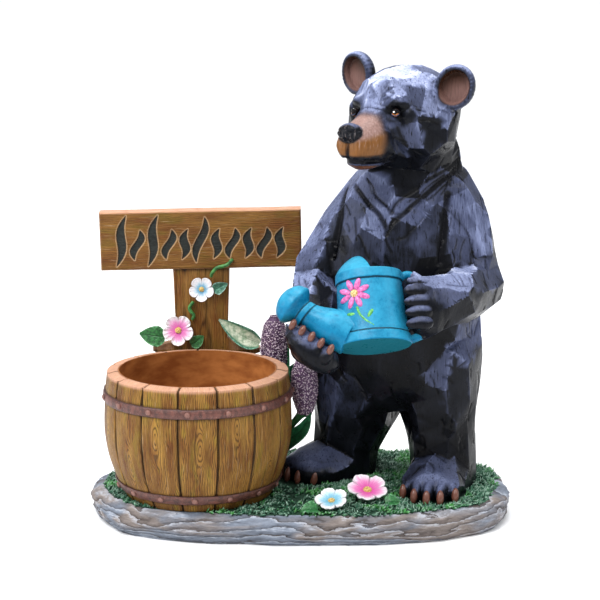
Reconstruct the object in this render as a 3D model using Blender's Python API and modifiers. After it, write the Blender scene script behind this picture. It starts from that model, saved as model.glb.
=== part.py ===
"""A cast and painted garden ornament: a carved-look bear that holds a watering can beside a barrel planter.

Metres, +Z up, origin at the middle of the underside. The front, which the bear and the barrel face, is -Y.
"""

import math
import random

import bmesh
import bpy
import numpy as np
from mathutils import Matrix, Vector
from mathutils.bvhtree import BVHTree
from mathutils.kdtree import KDTree

# The ground slab of rock and grass
base_width = 0.295
base_depth = 0.175
base_height = 0.020
rock_roughness = 0.0022

# Clearance between pieces that touch
joint_gap = 0.0003

# The barrel planter
barrel_x = -0.070
barrel_y = -0.020
barrel_height = 0.0865
barrel_foot_radius = 0.0505
barrel_belly_radius = 0.0643
barrel_rim_radius = 0.0617
barrel_wall = 0.0083
barrel_floor = 0.009
barrel_rim_slope = 0.0014
stave_count = 15
stave_groove_depth = 0.0011
stave_groove_width = 0.0011
hoop_width = 0.0066
hoop_proud = 0.0013
upper_hoop_height = 0.0667
lower_hoop_height = 0.0055

# The sign on its post
board_width = 0.144
board_shift = -0.0005
board_height = 0.0425
board_thickness = 0.014
board_bottom = 0.1635
board_roll = 1.2
board_edge = 0.0012
post_width = 0.0420
post_foot_width = 0.0375
post_thickness = 0.0115
post_shift = -0.0005
post_flare_left = 0.0355
post_flare_right = 0.0420
post_flare_rise = 0.0005
stroke_depth = 0.0009
stroke_count = 9

# The watering can
can_height = 0.050
can_top_width = 0.0425
can_foot_width = 0.0475
can_depth_share = 0.78
can_wall = 0.0028
can_recess = 0.036
can_band = 0.0009
can_tilt = 29.0
can_roll = 4.5
can_x = 0.0470
can_y = -0.0583
can_z = 0.1547
spout_root_radius = 0.0132
spout_tip_radius = 0.0072
rose_radius = 0.0138
handle_radius = 0.0028
handle_reach = 0.013
daisy_radius = 0.0105
daisy_petals = 8

# The bear. Its pose, proportions and carving are shares of its height: unit is a three-hundredth of it.
bear_height = 0.300
bear_x = 0.070
bear_y = 0.008
bear_voxel_units = 1.5
bear_triangles = 2450
facet_triangles = 1200
carving_depth_units = 1.1
head_yaw = -40.0

# Flowers, leaves and spikes
post_pink_radius = 0.0112
post_blue_radius = 0.0090
ground_pink_radius = 0.0140
ground_blue_radius = 0.0112
petal_thickness = 0.0015
leaf_thickness = 0.0014
tall_spike_radius = 0.0098
tall_spike_height = 0.1115
short_spike_radius = 0.0088
short_spike_bottom = 0.0500
short_spike_height = 0.0900
spike_stem_radius = 0.0026
spike_clearance = 0.0028
vine_radius = 0.0013

unit = bear_height / 300
bear_foot = Vector((bear_x, bear_y, base_height + joint_gap))
ground = base_height + joint_gap
rim = ground + barrel_height
board_inset = 0.0022


def clear_scene():
    for thing in list(bpy.data.objects):
        bpy.data.objects.remove(thing, do_unlink=True)


def make_collection(name):
    collection = bpy.data.collections.new(name)
    bpy.context.scene.collection.children.link(collection)
    return collection


clear_scene()
parts = make_collection("bear_planter_statue")
cutters = make_collection("cutters")


def paint(name, colour, roughness, metallic=0.0):
    material = bpy.data.materials.new(name)
    material.use_nodes = True
    shader = material.node_tree.nodes["Principled BSDF"]
    shader.inputs["Base Color"].default_value = (*colour, 1.0)
    shader.inputs["Roughness"].default_value = roughness
    shader.inputs["Metallic"].default_value = metallic
    return material


fur_paint = paint("black_fur_paint", (0.022, 0.026, 0.045), 0.35)
can_paint = paint("turquoise_paint", (0.020, 0.330, 0.520), 0.35)
barrel_paint = paint("oak_paint", (0.330, 0.160, 0.035), 0.60)
sign_paint = paint("plank_paint", (0.300, 0.130, 0.030), 0.60)
rock_paint = paint("rock_paint", (0.300, 0.290, 0.280), 0.75)
leaf_paint = paint("leaf_paint", (0.030, 0.190, 0.050), 0.45)
pink_paint = paint("pink_petal_paint", (0.850, 0.350, 0.620), 0.50)
blue_paint = paint("blue_petal_paint", (0.550, 0.780, 0.880), 0.50)
spike_paint = paint("purple_spike_paint", (0.210, 0.100, 0.240), 0.60)


def add_mesh(name, mesh, material=None, collection=None):
    thing = bpy.data.objects.new(name, mesh)
    (collection or parts).objects.link(thing)
    if material:
        mesh.materials.clear()
        mesh.materials.append(material)
    if collection is cutters:
        thing.hide_render = True
        thing.display_type = "WIRE"
    return thing


def mesh_from(form, name):
    bmesh.ops.recalc_face_normals(form, faces=form.faces)
    mesh = bpy.data.meshes.new(name)
    form.to_mesh(mesh)
    form.free()
    return mesh


def evaluated_mesh(thing):
    bpy.context.view_layer.update()
    graph = bpy.context.evaluated_depsgraph_get()
    return bpy.data.meshes.new_from_object(thing.evaluated_get(graph))


def settle(thing, name=None):
    """Replaces an object's modifiers by the mesh that they make."""
    mesh = evaluated_mesh(thing)
    thing.modifiers.clear()
    thing.data = mesh
    if name:
        thing.name = name
    return thing


def boolean(thing, other, operation, overlaps=False):
    """Joins or cuts with another solid, which is used up. overlaps is for one made of crossing pieces."""
    modifier = thing.modifiers.new(operation.lower(), "BOOLEAN")
    modifier.operation = operation
    modifier.object = other
    modifier.solver = "EXACT"
    modifier.use_self = overlaps
    settle(thing)
    bpy.data.objects.remove(other, do_unlink=True)
    return thing


def shade_round(thing, sharpest=38):
    """Shades the piece smooth, but for edges sharper than that many degrees."""
    thing.data.shade_smooth()
    thing.data.set_sharp_from_angle(angle=math.radians(sharpest))
    return thing


def smooth_through(stations, steps):
    """Points on a Catmull-Rom curve through the stations, which may hold any number of values each."""
    rows = [np.array(s, float) for s in stations]
    rows = [2 * rows[0] - rows[1], *rows, 2 * rows[-1] - rows[-2]]
    found = []
    for i in range(1, len(rows) - 2):
        a, b, c, d = rows[i - 1 : i + 3]
        for k in range(steps):
            t = k / steps
            found.append(
                0.5 * (2 * b + (c - a) * t + (2 * a - 5 * b + 4 * c - d) * t**2
                       + (3 * b - a - 3 * c + d) * t**3)
            )
    found.append(rows[-2])
    return found


def skin_rings(form, rings, close_ends=True):
    """Joins rings of equally many points into a skin, with a flat cap at each end."""
    made = [[form.verts.new(p) for p in ring] for ring in rings]
    count = len(made[0])
    for lower, upper in zip(made, made[1:]):
        for i in range(count):
            j = (i + 1) % count
            form.faces.new((lower[i], lower[j], upper[j], upper[i]))
    if close_ends:
        form.faces.new(list(reversed(made[0])))
        form.faces.new(made[-1])
    return made


def add_ellipsoid(form, matrix, radii, subdivisions=3):
    scale = Matrix.Diagonal((*radii, 1.0))
    bmesh.ops.create_icosphere(form, subdivisions=subdivisions, radius=1.0, matrix=matrix @ scale)


def add_limb(form, stations, side, sides=18, steps=5):
    """A limb through stations of (x, y, z, half width, half depth). side is the direction of its width."""
    rows = smooth_through(stations, steps)
    centres = [Vector(r[:3]) for r in rows]
    rings = []
    for i, row in enumerate(rows):
        along = (centres[min(i + 1, len(rows) - 1)] - centres[max(i - 1, 0)]).normalized()
        across = (side - along * side.dot(along)).normalized()
        deep = along.cross(across)
        ring = []
        for k in range(sides):
            turn = math.tau * k / sides
            ring.append(centres[i] + across * (row[3] * math.cos(turn)) + deep * (row[4] * math.sin(turn)))
        rings.append(ring)
    skin_rings(form, rings)


# The ground slab


def tube(name, points, radius, steps=2):
    """A round bar with closed ends, on a smooth line through the points, as a curve object."""
    curve = bpy.data.curves.new(name, "CURVE")
    curve.dimensions = "3D"
    curve.bevel_depth = radius
    curve.bevel_resolution = 2
    curve.use_fill_caps = True
    rows = smooth_through([tuple(p) for p in points], steps)
    spline = curve.splines.new("POLY")
    spline.points.add(len(rows) - 1)
    for point, row in zip(spline.points, rows):
        point.co = (*row, 1.0)
    return curve


def solid_tube(name, points, radius, steps=2):
    """The same bar as a closed mesh among the cutters, ready to be joined or cut."""
    holder = bpy.data.objects.new(name, tube(name, points, radius, steps))
    cutters.objects.link(holder)
    mesh = evaluated_mesh(holder)
    bpy.data.objects.remove(holder, do_unlink=True)
    form = bmesh.new()
    form.from_mesh(mesh)
    bmesh.ops.remove_doubles(form, verts=form.verts, dist=0.00001)
    return add_mesh(name, mesh_from(form, name), collection=cutters)


def slab_outline(turn):
    """The slab's edge seen from above: a long rounded shape with a gentle, uneven wave."""
    power = 2.0 / 2.45
    x = math.copysign(abs(math.cos(turn)) ** power, math.cos(turn))
    y = math.copysign(abs(math.sin(turn)) ** power, math.sin(turn))
    wave = 1.0 - 0.012 * (1 + math.sin(3 * turn + 0.6)) - 0.008 * (1 + math.sin(7 * turn + 2.1))
    return x * wave, y * wave


def make_base():
    count = 46
    plain = [slab_outline(math.tau * k / count) for k in range(count)]
    low_x, high_x = min(p[0] for p in plain), max(p[0] for p in plain)
    low_y, high_y = min(p[1] for p in plain), max(p[1] for p in plain)
    plain = [
        (
            ((x - low_x) / (high_x - low_x) - 0.5) * base_width,
            ((y - low_y) / (high_y - low_y) - 0.5) * base_depth,
        )
        for x, y in plain
    ]
    levels = (  # height share, inset
        (0.0, 0.0050),
        (0.22, 0.0012),
        (0.55, 0.0),
        (0.86, 0.0020),
        (1.0, 0.0055),
    )
    wobble = random.Random(4)
    rings = []
    for share, inset in levels:
        ring = []
        for k, (x, y) in enumerate(plain):
            rough = 0.0 if share in (0.55,) else rock_roughness * wobble.random()
            length = math.hypot(x, y)
            shrink = (length - inset - rough) / length
            ring.append(Vector((x * shrink, y * shrink, base_height * share)))
        rings.append(ring)
    form = bmesh.new()
    skin_rings(form, rings)
    bmesh.ops.triangulate(form, faces=form.faces)
    return add_mesh("rock_base", mesh_from(form, "rock_base"), rock_paint)


# The barrel


def barrel_radius(height):
    """The barrel's outer radius at a height above its foot: an arc that bulges at the belly."""
    belly_at = 0.56 * barrel_height
    if height < belly_at:
        drop = barrel_belly_radius - barrel_foot_radius
        return barrel_belly_radius - drop * ((belly_at - height) / belly_at) ** 2
    drop = barrel_belly_radius - barrel_rim_radius
    return barrel_belly_radius - drop * ((height - belly_at) / (barrel_height - belly_at)) ** 2


def turned(name, profile, steps, collection=None, material=None):
    """A solid turned about Z from a closed profile of (radius, height) that runs down its outer side."""
    mesh = bpy.data.meshes.new(name)
    points = [(r, 0.0, z) for r, z in profile]
    closed = profile[0][0] > 0 and profile[-1][0] > 0
    edges = [(i, i + 1) for i in range(len(points) - 1)]
    if closed:
        edges.append((len(points) - 1, 0))
    mesh.from_pydata(points, edges, [])
    thing = add_mesh(name, mesh, material, collection)
    screw = thing.modifiers.new("turn", "SCREW")
    screw.steps = steps
    screw.render_steps = steps
    screw.use_merge_vertices = True
    screw.merge_threshold = 0.00001
    settle(thing)
    form = bmesh.new()
    form.from_mesh(thing.data)
    bmesh.ops.remove_doubles(form, verts=form.verts, dist=0.000005)
    bmesh.ops.recalc_face_normals(form, faces=form.faces)
    form.to_mesh(thing.data)
    form.free()
    return thing


def make_barrel():
    inner_radius = barrel_rim_radius - barrel_wall
    foot_inner = barrel_foot_radius - barrel_wall + 0.002
    rim_outer = barrel_height - barrel_rim_slope
    heights = [rim_outer * share for share in (1.0, 0.78, 0.54, 0.28, 0.0)]
    profile = [(0.0, barrel_floor), (foot_inner, barrel_floor)]
    profile.append((barrel_belly_radius - barrel_wall, 0.56 * barrel_height))
    profile.append((inner_radius, barrel_height))
    profile += [(barrel_radius(h), h) for h in heights]
    profile.append((0.0, 0.0))
    steps = stave_count * 2
    barrel = turned("barrel_planter", profile, steps, material=barrel_paint)

    form = bmesh.new()
    for k in range(stave_count):
        turn = math.radians(-90 - 9) + math.tau * k / stave_count
        out = Vector((math.cos(turn), math.sin(turn), 0))
        side = Vector((-out.y, out.x, 0))
        rings = []
        for height in [-0.002] + heights[-2:0:-1] + [barrel_height + 0.002]:
            radius = barrel_radius(min(max(height, 0), rim_outer))
            inner = out * (radius - stave_groove_depth)
            left = out * (radius + 0.002) - side * stave_groove_width
            right = out * (radius + 0.002) + side * stave_groove_width
            rings.append([p + Vector((0, 0, height)) for p in (inner, right, left)])
        skin_rings(form, rings)
    grooves = add_mesh("stave_grooves", mesh_from(form, "stave_grooves"), collection=cutters)
    boolean(barrel, grooves, "DIFFERENCE")

    for height in (lower_hoop_height, upper_hoop_height):
        outer = [
            (barrel_radius(height + hoop_width) + hoop_proud, height + hoop_width),
            (barrel_radius(height) + hoop_proud, height),
        ]
        inner = [
            (barrel_radius(height) - 2 * stave_groove_depth, height),
            (barrel_radius(height + hoop_width) - 2 * stave_groove_depth, height + hoop_width),
        ]
        hoop = turned("hoop", outer + inner, steps, cutters)
        boolean(barrel, hoop, "UNION")
    barrel.data.transform(Matrix.Translation((barrel_x, barrel_y, ground)))
    return shade_round(barrel)


# The sign


def stroke_outline(length, width, lean, bend):
    """One brush-like dash, pointed at both ends and a little bent, as an outline in the board's plane."""
    points = []
    count = 5
    for side in (1, -1):
        for k in range(count):
            share = k / count if side == 1 else 1 - k / count
            along = (share - 0.5) * length
            swell = width * 0.5 * math.sin(math.pi * share) ** 0.8
            bow = bend * math.sin(math.tau * share)
            x = side * swell + bow
            points.append((x + along * math.tan(lean), along))
    return points


post_front = barrel_y + barrel_radius(upper_hoop_height) + hoop_proud + joint_gap
board_front = post_front - board_inset


def make_sign():
    top = board_bottom + 0.5 * board_height
    shelf = rim + post_flare_rise
    half_foot, half_top = post_foot_width / 2, post_width / 2
    left = [
        (-half_foot, ground),
        (-half_foot, shelf - 0.012),
        (-post_flare_left, shelf - 0.004),
        (-post_flare_left, shelf - 0.001),
        (-half_foot - 0.004, shelf + 0.002),
        (-half_foot, shelf + 0.007),
        (-half_top, top),
    ]
    right = [
        (half_top, top),
        (half_foot, shelf + 0.006),
        (half_foot + 0.005, shelf + 0.002),
        (post_flare_right, shelf - 0.002),
        (post_flare_right, shelf - 0.005),
        (half_foot, shelf - 0.012),
        (half_foot, ground),
    ]
    form = bmesh.new()
    skin_rings(form, [[Vector((x, y, z)) for x, z in left + right] for y in (0.0, post_thickness)])
    sign = add_mesh("signboard", mesh_from(form, "signboard"), sign_paint)
    sign.data.transform(Matrix.Translation((barrel_x + post_shift, post_front, 0)))

    bpy.ops.mesh.primitive_cube_add(size=1.0)
    board = bpy.context.active_object
    board.data.transform(Matrix.Diagonal((board_width, board_thickness, board_height, 1.0)))
    bevel = board.modifiers.new("worn_edges", "BEVEL")
    bevel.width = board_edge
    bevel.segments = 1
    settle(board)
    middle = Vector((
        barrel_x + board_shift, board_front + board_thickness / 2, board_bottom + board_height / 2,
    ))
    lean = Matrix.Rotation(math.radians(-board_roll), 4, "Y")
    board.data.transform(Matrix.Translation(middle) @ lean)
    boolean(sign, board, "UNION")

    form = bmesh.new()
    usable = board_width * 0.86
    for k in range(stroke_count):
        share = (k + 0.5) / stroke_count - 0.5
        tall = 0.66 if k in (0, 2) else (0.56 if k == 4 else 0.36)
        lift = 0.0 if tall > 0.4 else -0.05
        outline = stroke_outline(
            board_height * tall, board_height * 0.12, math.radians(14), board_height * 0.035 * (-1) ** k
        )
        depth = (-board_thickness / 2 - 0.001, -board_thickness / 2 + stroke_depth)
        rings = [
            [Vector((share * usable + x, y, z + lift * board_height)) for x, z in outline]
            for y in depth
        ]
        skin_rings(form, rings)
    strokes = add_mesh("sign_strokes", mesh_from(form, "sign_strokes"), collection=cutters)
    strokes.data.transform(Matrix.Translation(middle) @ lean)
    boolean(sign, strokes, "DIFFERENCE")
    return sign


# The watering can

can_frame = (
    Matrix.Translation((can_x, can_y, can_z))
    @ Matrix.Rotation(math.radians(-can_roll), 4, "Y")
    @ Matrix.Rotation(math.radians(-can_tilt), 4, "X")
)


def can_ring(z, half_width, sides=20):
    half_depth = half_width * can_depth_share
    return [
        Vector((half_width * math.cos(math.tau * k / sides), half_depth * math.sin(math.tau * k / sides), z))
        for k in range(sides)
    ]


def can_half_width(z):
    share = (z + can_height / 2) / can_height
    return (can_foot_width + (can_top_width - can_foot_width) * share) / 2


def can_body(grow=0.0, sides=20):
    """The can's oval body, with a raised band at its foot and its top. grow makes it larger all round."""
    low, high = -can_height / 2, can_height / 2
    band = can_height * 0.13
    levels = [
        (low - grow, can_half_width(low) + can_band),
        (low + band, can_half_width(low + band) + can_band),
        (low + band * 1.15, can_half_width(low + band)),
        (high - band * 1.15, can_half_width(high - band)),
        (high - band, can_half_width(high - band) + can_band),
        (high + grow, can_half_width(high) + can_band),
    ]
    form = bmesh.new()
    skin_rings(form, [can_ring(z, w + grow, sides) for z, w in levels])
    return form


def spout_path():
    """The spout's middle line in the can's frame: from the lower left side up to the collar."""
    root = Vector((-can_foot_width * 0.33, -0.003, -can_height * 0.35))
    collar = Vector((-can_top_width / 2 - 0.0235, -0.0045, can_height * 0.015))
    return root, collar, (collar - root).normalized()


def add_spout(form, grow=0.0, sides=12):
    root, collar, along = spout_path()
    rise = Matrix.Rotation(math.radians(12), 3, "Y") @ along
    stations = [
        (*root, spout_root_radius + grow, spout_root_radius + grow),
        (*root.lerp(collar, 0.4), spout_root_radius * 0.97 + grow, spout_root_radius * 0.95 + grow),
        (*root.lerp(collar, 0.75), spout_tip_radius * 1.28 + grow, spout_tip_radius * 1.25 + grow),
        (*(collar + rise * 0.004), spout_tip_radius + grow, spout_tip_radius + grow),
    ]
    add_limb(form, stations, Vector((0, 1, 0)), sides, 3)
    return collar, rise


def make_rose(collar, rise, grow=0.0):
    """The mushroom-shaped rose at the end of the spout, turned about the spout's line."""
    shares = (  # radius, height above the collar, both in rose radii
        (0.0, 1.34), (0.42, 1.27), (0.84, 1.0), (1.0, 0.66),
        (1.0, 0.46), (0.62, 0.14), (0.55, 0.0), (0.0, 0.0),
    )
    profile = [(r * rose_radius + (grow if r else 0.0), z * rose_radius) for r, z in shares]
    rose = turned("rose", profile, 14, cutters)
    turn = Vector((0, 0, 1)).rotation_difference(rise).to_matrix().to_4x4()
    rose.data.transform(Matrix.Translation(collar) @ turn)
    return rose


def add_collar(form, collar, rise, grow=0.0, sides=12):
    turn = Vector((0, 0, 1)).rotation_difference(rise).to_matrix().to_4x4()
    place = Matrix.Translation(collar - rise * 0.0015) @ turn
    radius = spout_tip_radius * 1.22 + grow
    bmesh.ops.create_cone(
        form, cap_ends=True, segments=sides, radius1=radius * 1.04, radius2=radius, depth=0.0042, matrix=place
    )


def handle_points():
    """The handle's middle line: a C from the top rim to the foot band, at the side away from the spout."""
    top, foot = can_top_width / 2, can_foot_width / 2
    return [
        (top - 0.002, 0.003, can_height * 0.43),
        (top + 0.45 * handle_reach, 0.004, can_height * 0.47),
        (top + handle_reach, 0.005, can_height * 0.30),
        (top + handle_reach * 1.15, 0.005, 0.0),
        (foot + handle_reach * 0.75, 0.004, -can_height * 0.33),
        (foot - 0.002, 0.003, -can_height * 0.44),
    ]


def add_daisy(form):
    """A raised daisy with a bent stem and two leaves on the can's front."""
    front = Vector((-0.0105, 0, can_height * 0.155))
    half_width = can_half_width(front.z)

    def on_front(x, z, out=0.0):
        reach = math.sqrt(max(0.0, 1 - (x / half_width) ** 2))
        return Vector((x, -half_width * can_depth_share * reach - out, z))

    def add_drop(x, z, long, wide, turn):
        place = Matrix.Translation(on_front(x, z)) @ Matrix.Rotation(turn, 4, "Y")
        ring_shares = ((-0.0008, 1.0), (0.0009, 0.85), (0.0014, 0.35))
        rings = []
        for out, share in ring_shares:
            rings.append([
                place @ Vector((share * wide * math.cos(a), -out, share * long * math.sin(a)))
                for a in (math.tau * k / 6 for k in range(6))
            ])
        skin_rings(form, rings)

    for k in range(daisy_petals):
        turn = math.tau * (k + 0.5) / daisy_petals
        middle = 0.60 * daisy_radius
        add_drop(
            front.x + middle * math.sin(turn), front.z + middle * math.cos(turn),
            0.42 * daisy_radius, 0.185 * daisy_radius, turn,
        )
    add_drop(front.x, front.z, 0.27 * daisy_radius, 0.27 * daisy_radius, 0.0)
    stem = [
        (*on_front(front.x + dx * daisy_radius, front.z + dz * daisy_radius), 0.0007, 0.0010)
        for dx, dz in ((0.1, -0.9), (0.25, -1.4), (0.6, -1.85), (1.05, -2.2))
    ]
    add_limb(form, stem, Vector((1, 0, 0)), 6, 2)
    for across, long, wide, turn in ((-0.25, 0.32, 0.12, -1.45), (0.85, 0.34, 0.13, 0.6)):
        add_drop(
            front.x + across * daisy_radius, front.z - 1.42 * daisy_radius,
            long * daisy_radius, wide * daisy_radius, turn,
        )


def add_hood(form, sides=10):
    """The half cover over the front of the can's mouth: a shell that rises from the rim to a lip."""
    high = can_height / 2
    half_width = can_half_width(high) + can_band
    lip = Vector((-0.0055, 0, high + 0.0145))
    outer, inner = [], []
    for layer, offset in ((outer, 0.0), (inner, can_wall * 0.75)):
        for level in range(5):
            share = level / 4
            ring = []
            for k in range(sides + 1):
                turn = math.pi * (0.62 + 1.02 * k / sides)
                x = (half_width - offset) * math.cos(turn)
                y = (half_width - offset) * can_depth_share * math.sin(turn)
                pull = math.sin(share * math.pi / 2) ** 1.3
                rise = (lip.z - high) * math.sin(share * math.pi / 2)
                inward = pull * 0.92
                height = high - 0.001 + rise - offset * 0.6 * share
                ring.append(Vector((x + (lip.x - x) * inward, y + (lip.y - y) * inward, height)))
            layer.append(ring)
    made_outer = [[form.verts.new(p) for p in ring] for ring in outer]
    made_inner = [[form.verts.new(p) for p in ring] for ring in inner]
    for made, flip in ((made_outer, False), (made_inner, True)):
        for lower, upper in zip(made, made[1:]):
            for i in range(len(lower) - 1):
                corners = [lower[i], lower[i + 1], upper[i + 1], upper[i]]
                form.faces.new(corners[::-1] if flip else corners)
    border_outer, border_inner = (
        made[0] + [r[-1] for r in made[1:]] + made[-1][-2::-1] + [r[0] for r in made[-2:0:-1]]
        for made in (made_outer, made_inner)
    )
    count = len(border_outer)
    for i in range(count):
        j = (i + 1) % count
        form.faces.new((border_outer[j], border_outer[i], border_inner[i], border_inner[j]))


def make_can():
    can = add_mesh("watering_can", mesh_from(can_body(), "watering_can"), can_paint)
    form = bmesh.new()
    collar, rise = add_spout(form)
    spout = add_mesh("spout", mesh_from(form, "spout"), collection=cutters)
    boolean(can, spout, "UNION")
    form = bmesh.new()
    add_collar(form, collar, rise)
    boolean(can, add_mesh("collar", mesh_from(form, "collar"), collection=cutters), "UNION")
    boolean(can, make_rose(collar, rise), "UNION")
    form = bmesh.new()
    add_hood(form)
    boolean(can, add_mesh("hood", mesh_from(form, "hood"), collection=cutters), "UNION")

    high = can_height / 2
    inner_top = can_half_width(high) - can_wall
    form = bmesh.new()
    rings = [can_ring(z, w - can_wall, 16) for z, w in (
        (high - can_recess, can_half_width(high - can_recess)),
        (high - 0.0015, can_half_width(high)),
    )]
    skin_rings(form, rings)
    boolean(can, add_mesh("can_hollow", mesh_from(form, "can_hollow"), collection=cutters), "DIFFERENCE")
    form = bmesh.new()
    mouth = [
        [p + Vector((inner_top * 0.50, inner_top * 0.18, 0)) for p in can_ring(z, inner_top * 0.62, 16)]
        for z in (high - 0.006, high + 0.006)
    ]
    skin_rings(form, mouth)
    boolean(can, add_mesh("can_mouth", mesh_from(form, "can_mouth"), collection=cutters), "DIFFERENCE")

    boolean(can, solid_tube("handle", handle_points(), handle_radius, 3), "UNION")
    form = bmesh.new()
    add_daisy(form)
    boolean(can, add_mesh("daisy", mesh_from(form, "daisy"), collection=cutters), "UNION", overlaps=True)
    can.data.transform(can_frame)
    return shade_round(can)


def can_clearance():
    """What the bear's paws are hollowed by: the can's outer form, one clearance larger."""
    grow = joint_gap * 1.6
    cutter = add_mesh("can_clearance", mesh_from(can_body(grow), "can_clearance"), collection=cutters)
    form = bmesh.new()
    collar, rise = add_spout(form, grow)
    boolean(cutter, add_mesh("spout", mesh_from(form, "spout"), collection=cutters), "UNION")
    form = bmesh.new()
    add_collar(form, collar, rise, grow)
    boolean(cutter, add_mesh("collar", mesh_from(form, "collar"), collection=cutters), "UNION")
    boolean(cutter, make_rose(collar, rise, grow), "UNION")
    boolean(cutter, solid_tube("handle", handle_points(), handle_radius + grow, 3), "UNION")
    cutter.data.transform(can_frame)
    return cutter


# The bear. Positions are in units, right, back and up from the ground below its body.


def bear_point(x, y, z):
    return bear_foot + Vector((x, y, z)) * unit


def bear_units(point):
    """A place in the scene as bear units."""
    return tuple((point - bear_foot) / unit)


head_centre = Vector((1, -8, 259))
head_turn = Matrix.Rotation(math.radians(head_yaw), 4, "Z")


def on_head(side, front, up):
    """A point given in the head's own directions: to the bear's left, forward and up."""
    return head_centre + (head_turn @ Vector((side, -front, up)))


torso = (  # x, y, z, half width, half depth
    (-1, 10, 55, 22, 20),
    (-2, 8, 64, 42, 30),
    (0, 6, 80, 54, 37),
    (0, 4, 100, 56, 41),
    (0, 1, 125, 54, 43),
    (1, 0, 150, 52, 42),
    (1, 0, 175, 48, 38),
    (3, 1, 192, 43, 35),
    (5, 1, 207, 39, 32),
    (7, 1, 222, 32.5, 29),
    (6, 0, 240, 31, 28),
)
left_leg = (
    (27, 0, 96, 27, 34),
    (27.5, -1, 64, 27, 31),
    (29, -3, 46, 24.5, 27),
    (30, -5, 30, 23.5, 25),
    (30.5, -7, 14, 22.5, 25),
    (30.5, -8, -3, 22.5, 26),
)
right_leg = (
    (-27, 6, 96, 29, 34),
    (-30, 13, 64, 30, 30),
    (-31.5, 16, 50, 28.5, 28),
    (-33.5, 18, 40, 26, 26),
    (-36, 20, 28, 23.5, 25),
    (-37.5, 21, 14, 22.5, 24),
    (-38, 21, -3, 23, 24),
)
left_upper_arm = (
    (22, 2, 214, 13, 17),
    (30, 2, 212, 14, 18),
    (39, 3, 196, 15.5, 20),
    (45, 4, 180, 16, 20),
    (48.5, 3, 160, 16.5, 20),
    (51, 0, 141, 18, 20),
)
right_upper_arm = (
    (-14, 4, 211, 12, 16),
    (-26, 5, 199, 14, 19),
    (-33, 5, 189, 15, 20),
    (-43.5, 5, 172, 16, 20),
    (-52, 3, 158, 16.5, 20),
    (-57, 0, 145, 16.5, 19),
)


def paw_places():
    """Where the paws hold the can: the left at its right side, the right under its spout."""
    root, collar, _ = spout_path()
    left = Vector(bear_units(can_frame @ Vector((can_foot_width / 2 + 0.0115, -0.001, -0.001))))
    under_spout = root.lerp(collar, 0.55) + Vector((-0.0085, 0.007, -spout_root_radius - 0.0035))
    right = Vector(bear_units(can_frame @ under_spout))
    return left, right


def add_foot(form, ankle, yaw, toe_reach, units_matrix):
    """A broad foot with five toes and claws. ankle is the leg's place on the ground."""
    frame = Matrix.Translation(ankle) @ Matrix.Rotation(math.radians(yaw), 4, "Z")
    add_ellipsoid(form, units_matrix @ frame @ Matrix.Translation((0, -16, 7)), (22, 32, 17))
    add_ellipsoid(form, units_matrix @ frame @ Matrix.Translation((0, -34, 6)), (21, 15, 12))
    for k in range(5):
        side = (k - 2) * 9.0
        reach = toe_reach - 0.032 * side * side
        toe = frame @ Matrix.Translation((side, -reach + 5, 5.5)) @ Matrix.Rotation(-side * 0.012, 4, "Z")
        add_ellipsoid(form, units_matrix @ toe, (4.4, 9.0, 7.2), 2)
        claw = frame @ Matrix.Translation((side, -reach - 3.6, 4.6)) @ Matrix.Rotation(-0.25, 4, "X")
        add_ellipsoid(form, units_matrix @ claw, (2.4, 2.5, 5.2), 2)


def add_head(form, units_matrix):
    frame = units_matrix @ Matrix.Translation(head_centre) @ head_turn

    def lump(side, front, up, radii, turn=0.0, nod=0.0, fine=3):
        place = Matrix.Translation((side, -front, up))
        place = place @ Matrix.Rotation(turn, 4, "Z") @ Matrix.Rotation(nod, 4, "X")
        add_ellipsoid(form, frame @ place, radii, fine)

    lump(0, -3, 0.5, (37, 37, 31))
    lump(0, 12, 7, (27, 24, 23))
    for way in (-1, 1):
        lump(way * 18, 3, -13, (20, 24, 22))
        lump(way * 22, 20, -1, (9.5, 9.5, 11))
        lump(way * 14.5, 25, 9.5, (10, 8, 6.5), turn=way * 0.35)
    snout = (
        (0, -14, -8, 24, 22),
        (0, -30, -13, 19.5, 19),
        (0, -46, -16.5, 15.5, 15.5),
        (0, -56, -17.5, 13, 13),
        (0, -62, -17, 9, 9.5),
    )
    rows = [(*(frame @ Vector(s[:3])), s[3] * unit, s[4] * unit) for s in snout]
    add_limb(form, rows, (head_turn @ Vector((1, 0, 0))), 18, 4)
    lump(0, 60.5, -8.2, (9.3, 6.5, 6.0))
    lump(0, 43, -29.5, (12.5, 14.5, 5.5), nod=0.06)
    for side, up, back, turn, way in ((40.0, 17.5, 3, 0.42, 1), (-41.5, 24.0, 3, -0.05, -1)):
        place = Matrix.Translation((side, back, up)) @ Matrix.Rotation(turn, 4, "Z")
        place = place @ Matrix.Rotation(way * 0.35, 4, "Y")
        ear = frame @ place
        for k in range(20):
            turn_k = math.tau * k / 20
            spot = Matrix.Translation((10.8 * math.cos(turn_k), 0, 12.8 * math.sin(turn_k)))
            add_ellipsoid(form, ear @ spot, (2.9, 4.4, 2.9), 2)
        add_ellipsoid(form, ear @ Matrix.Translation((0, 3.0, 0)), (12.4, 3.4, 14.2), 2)


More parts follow.
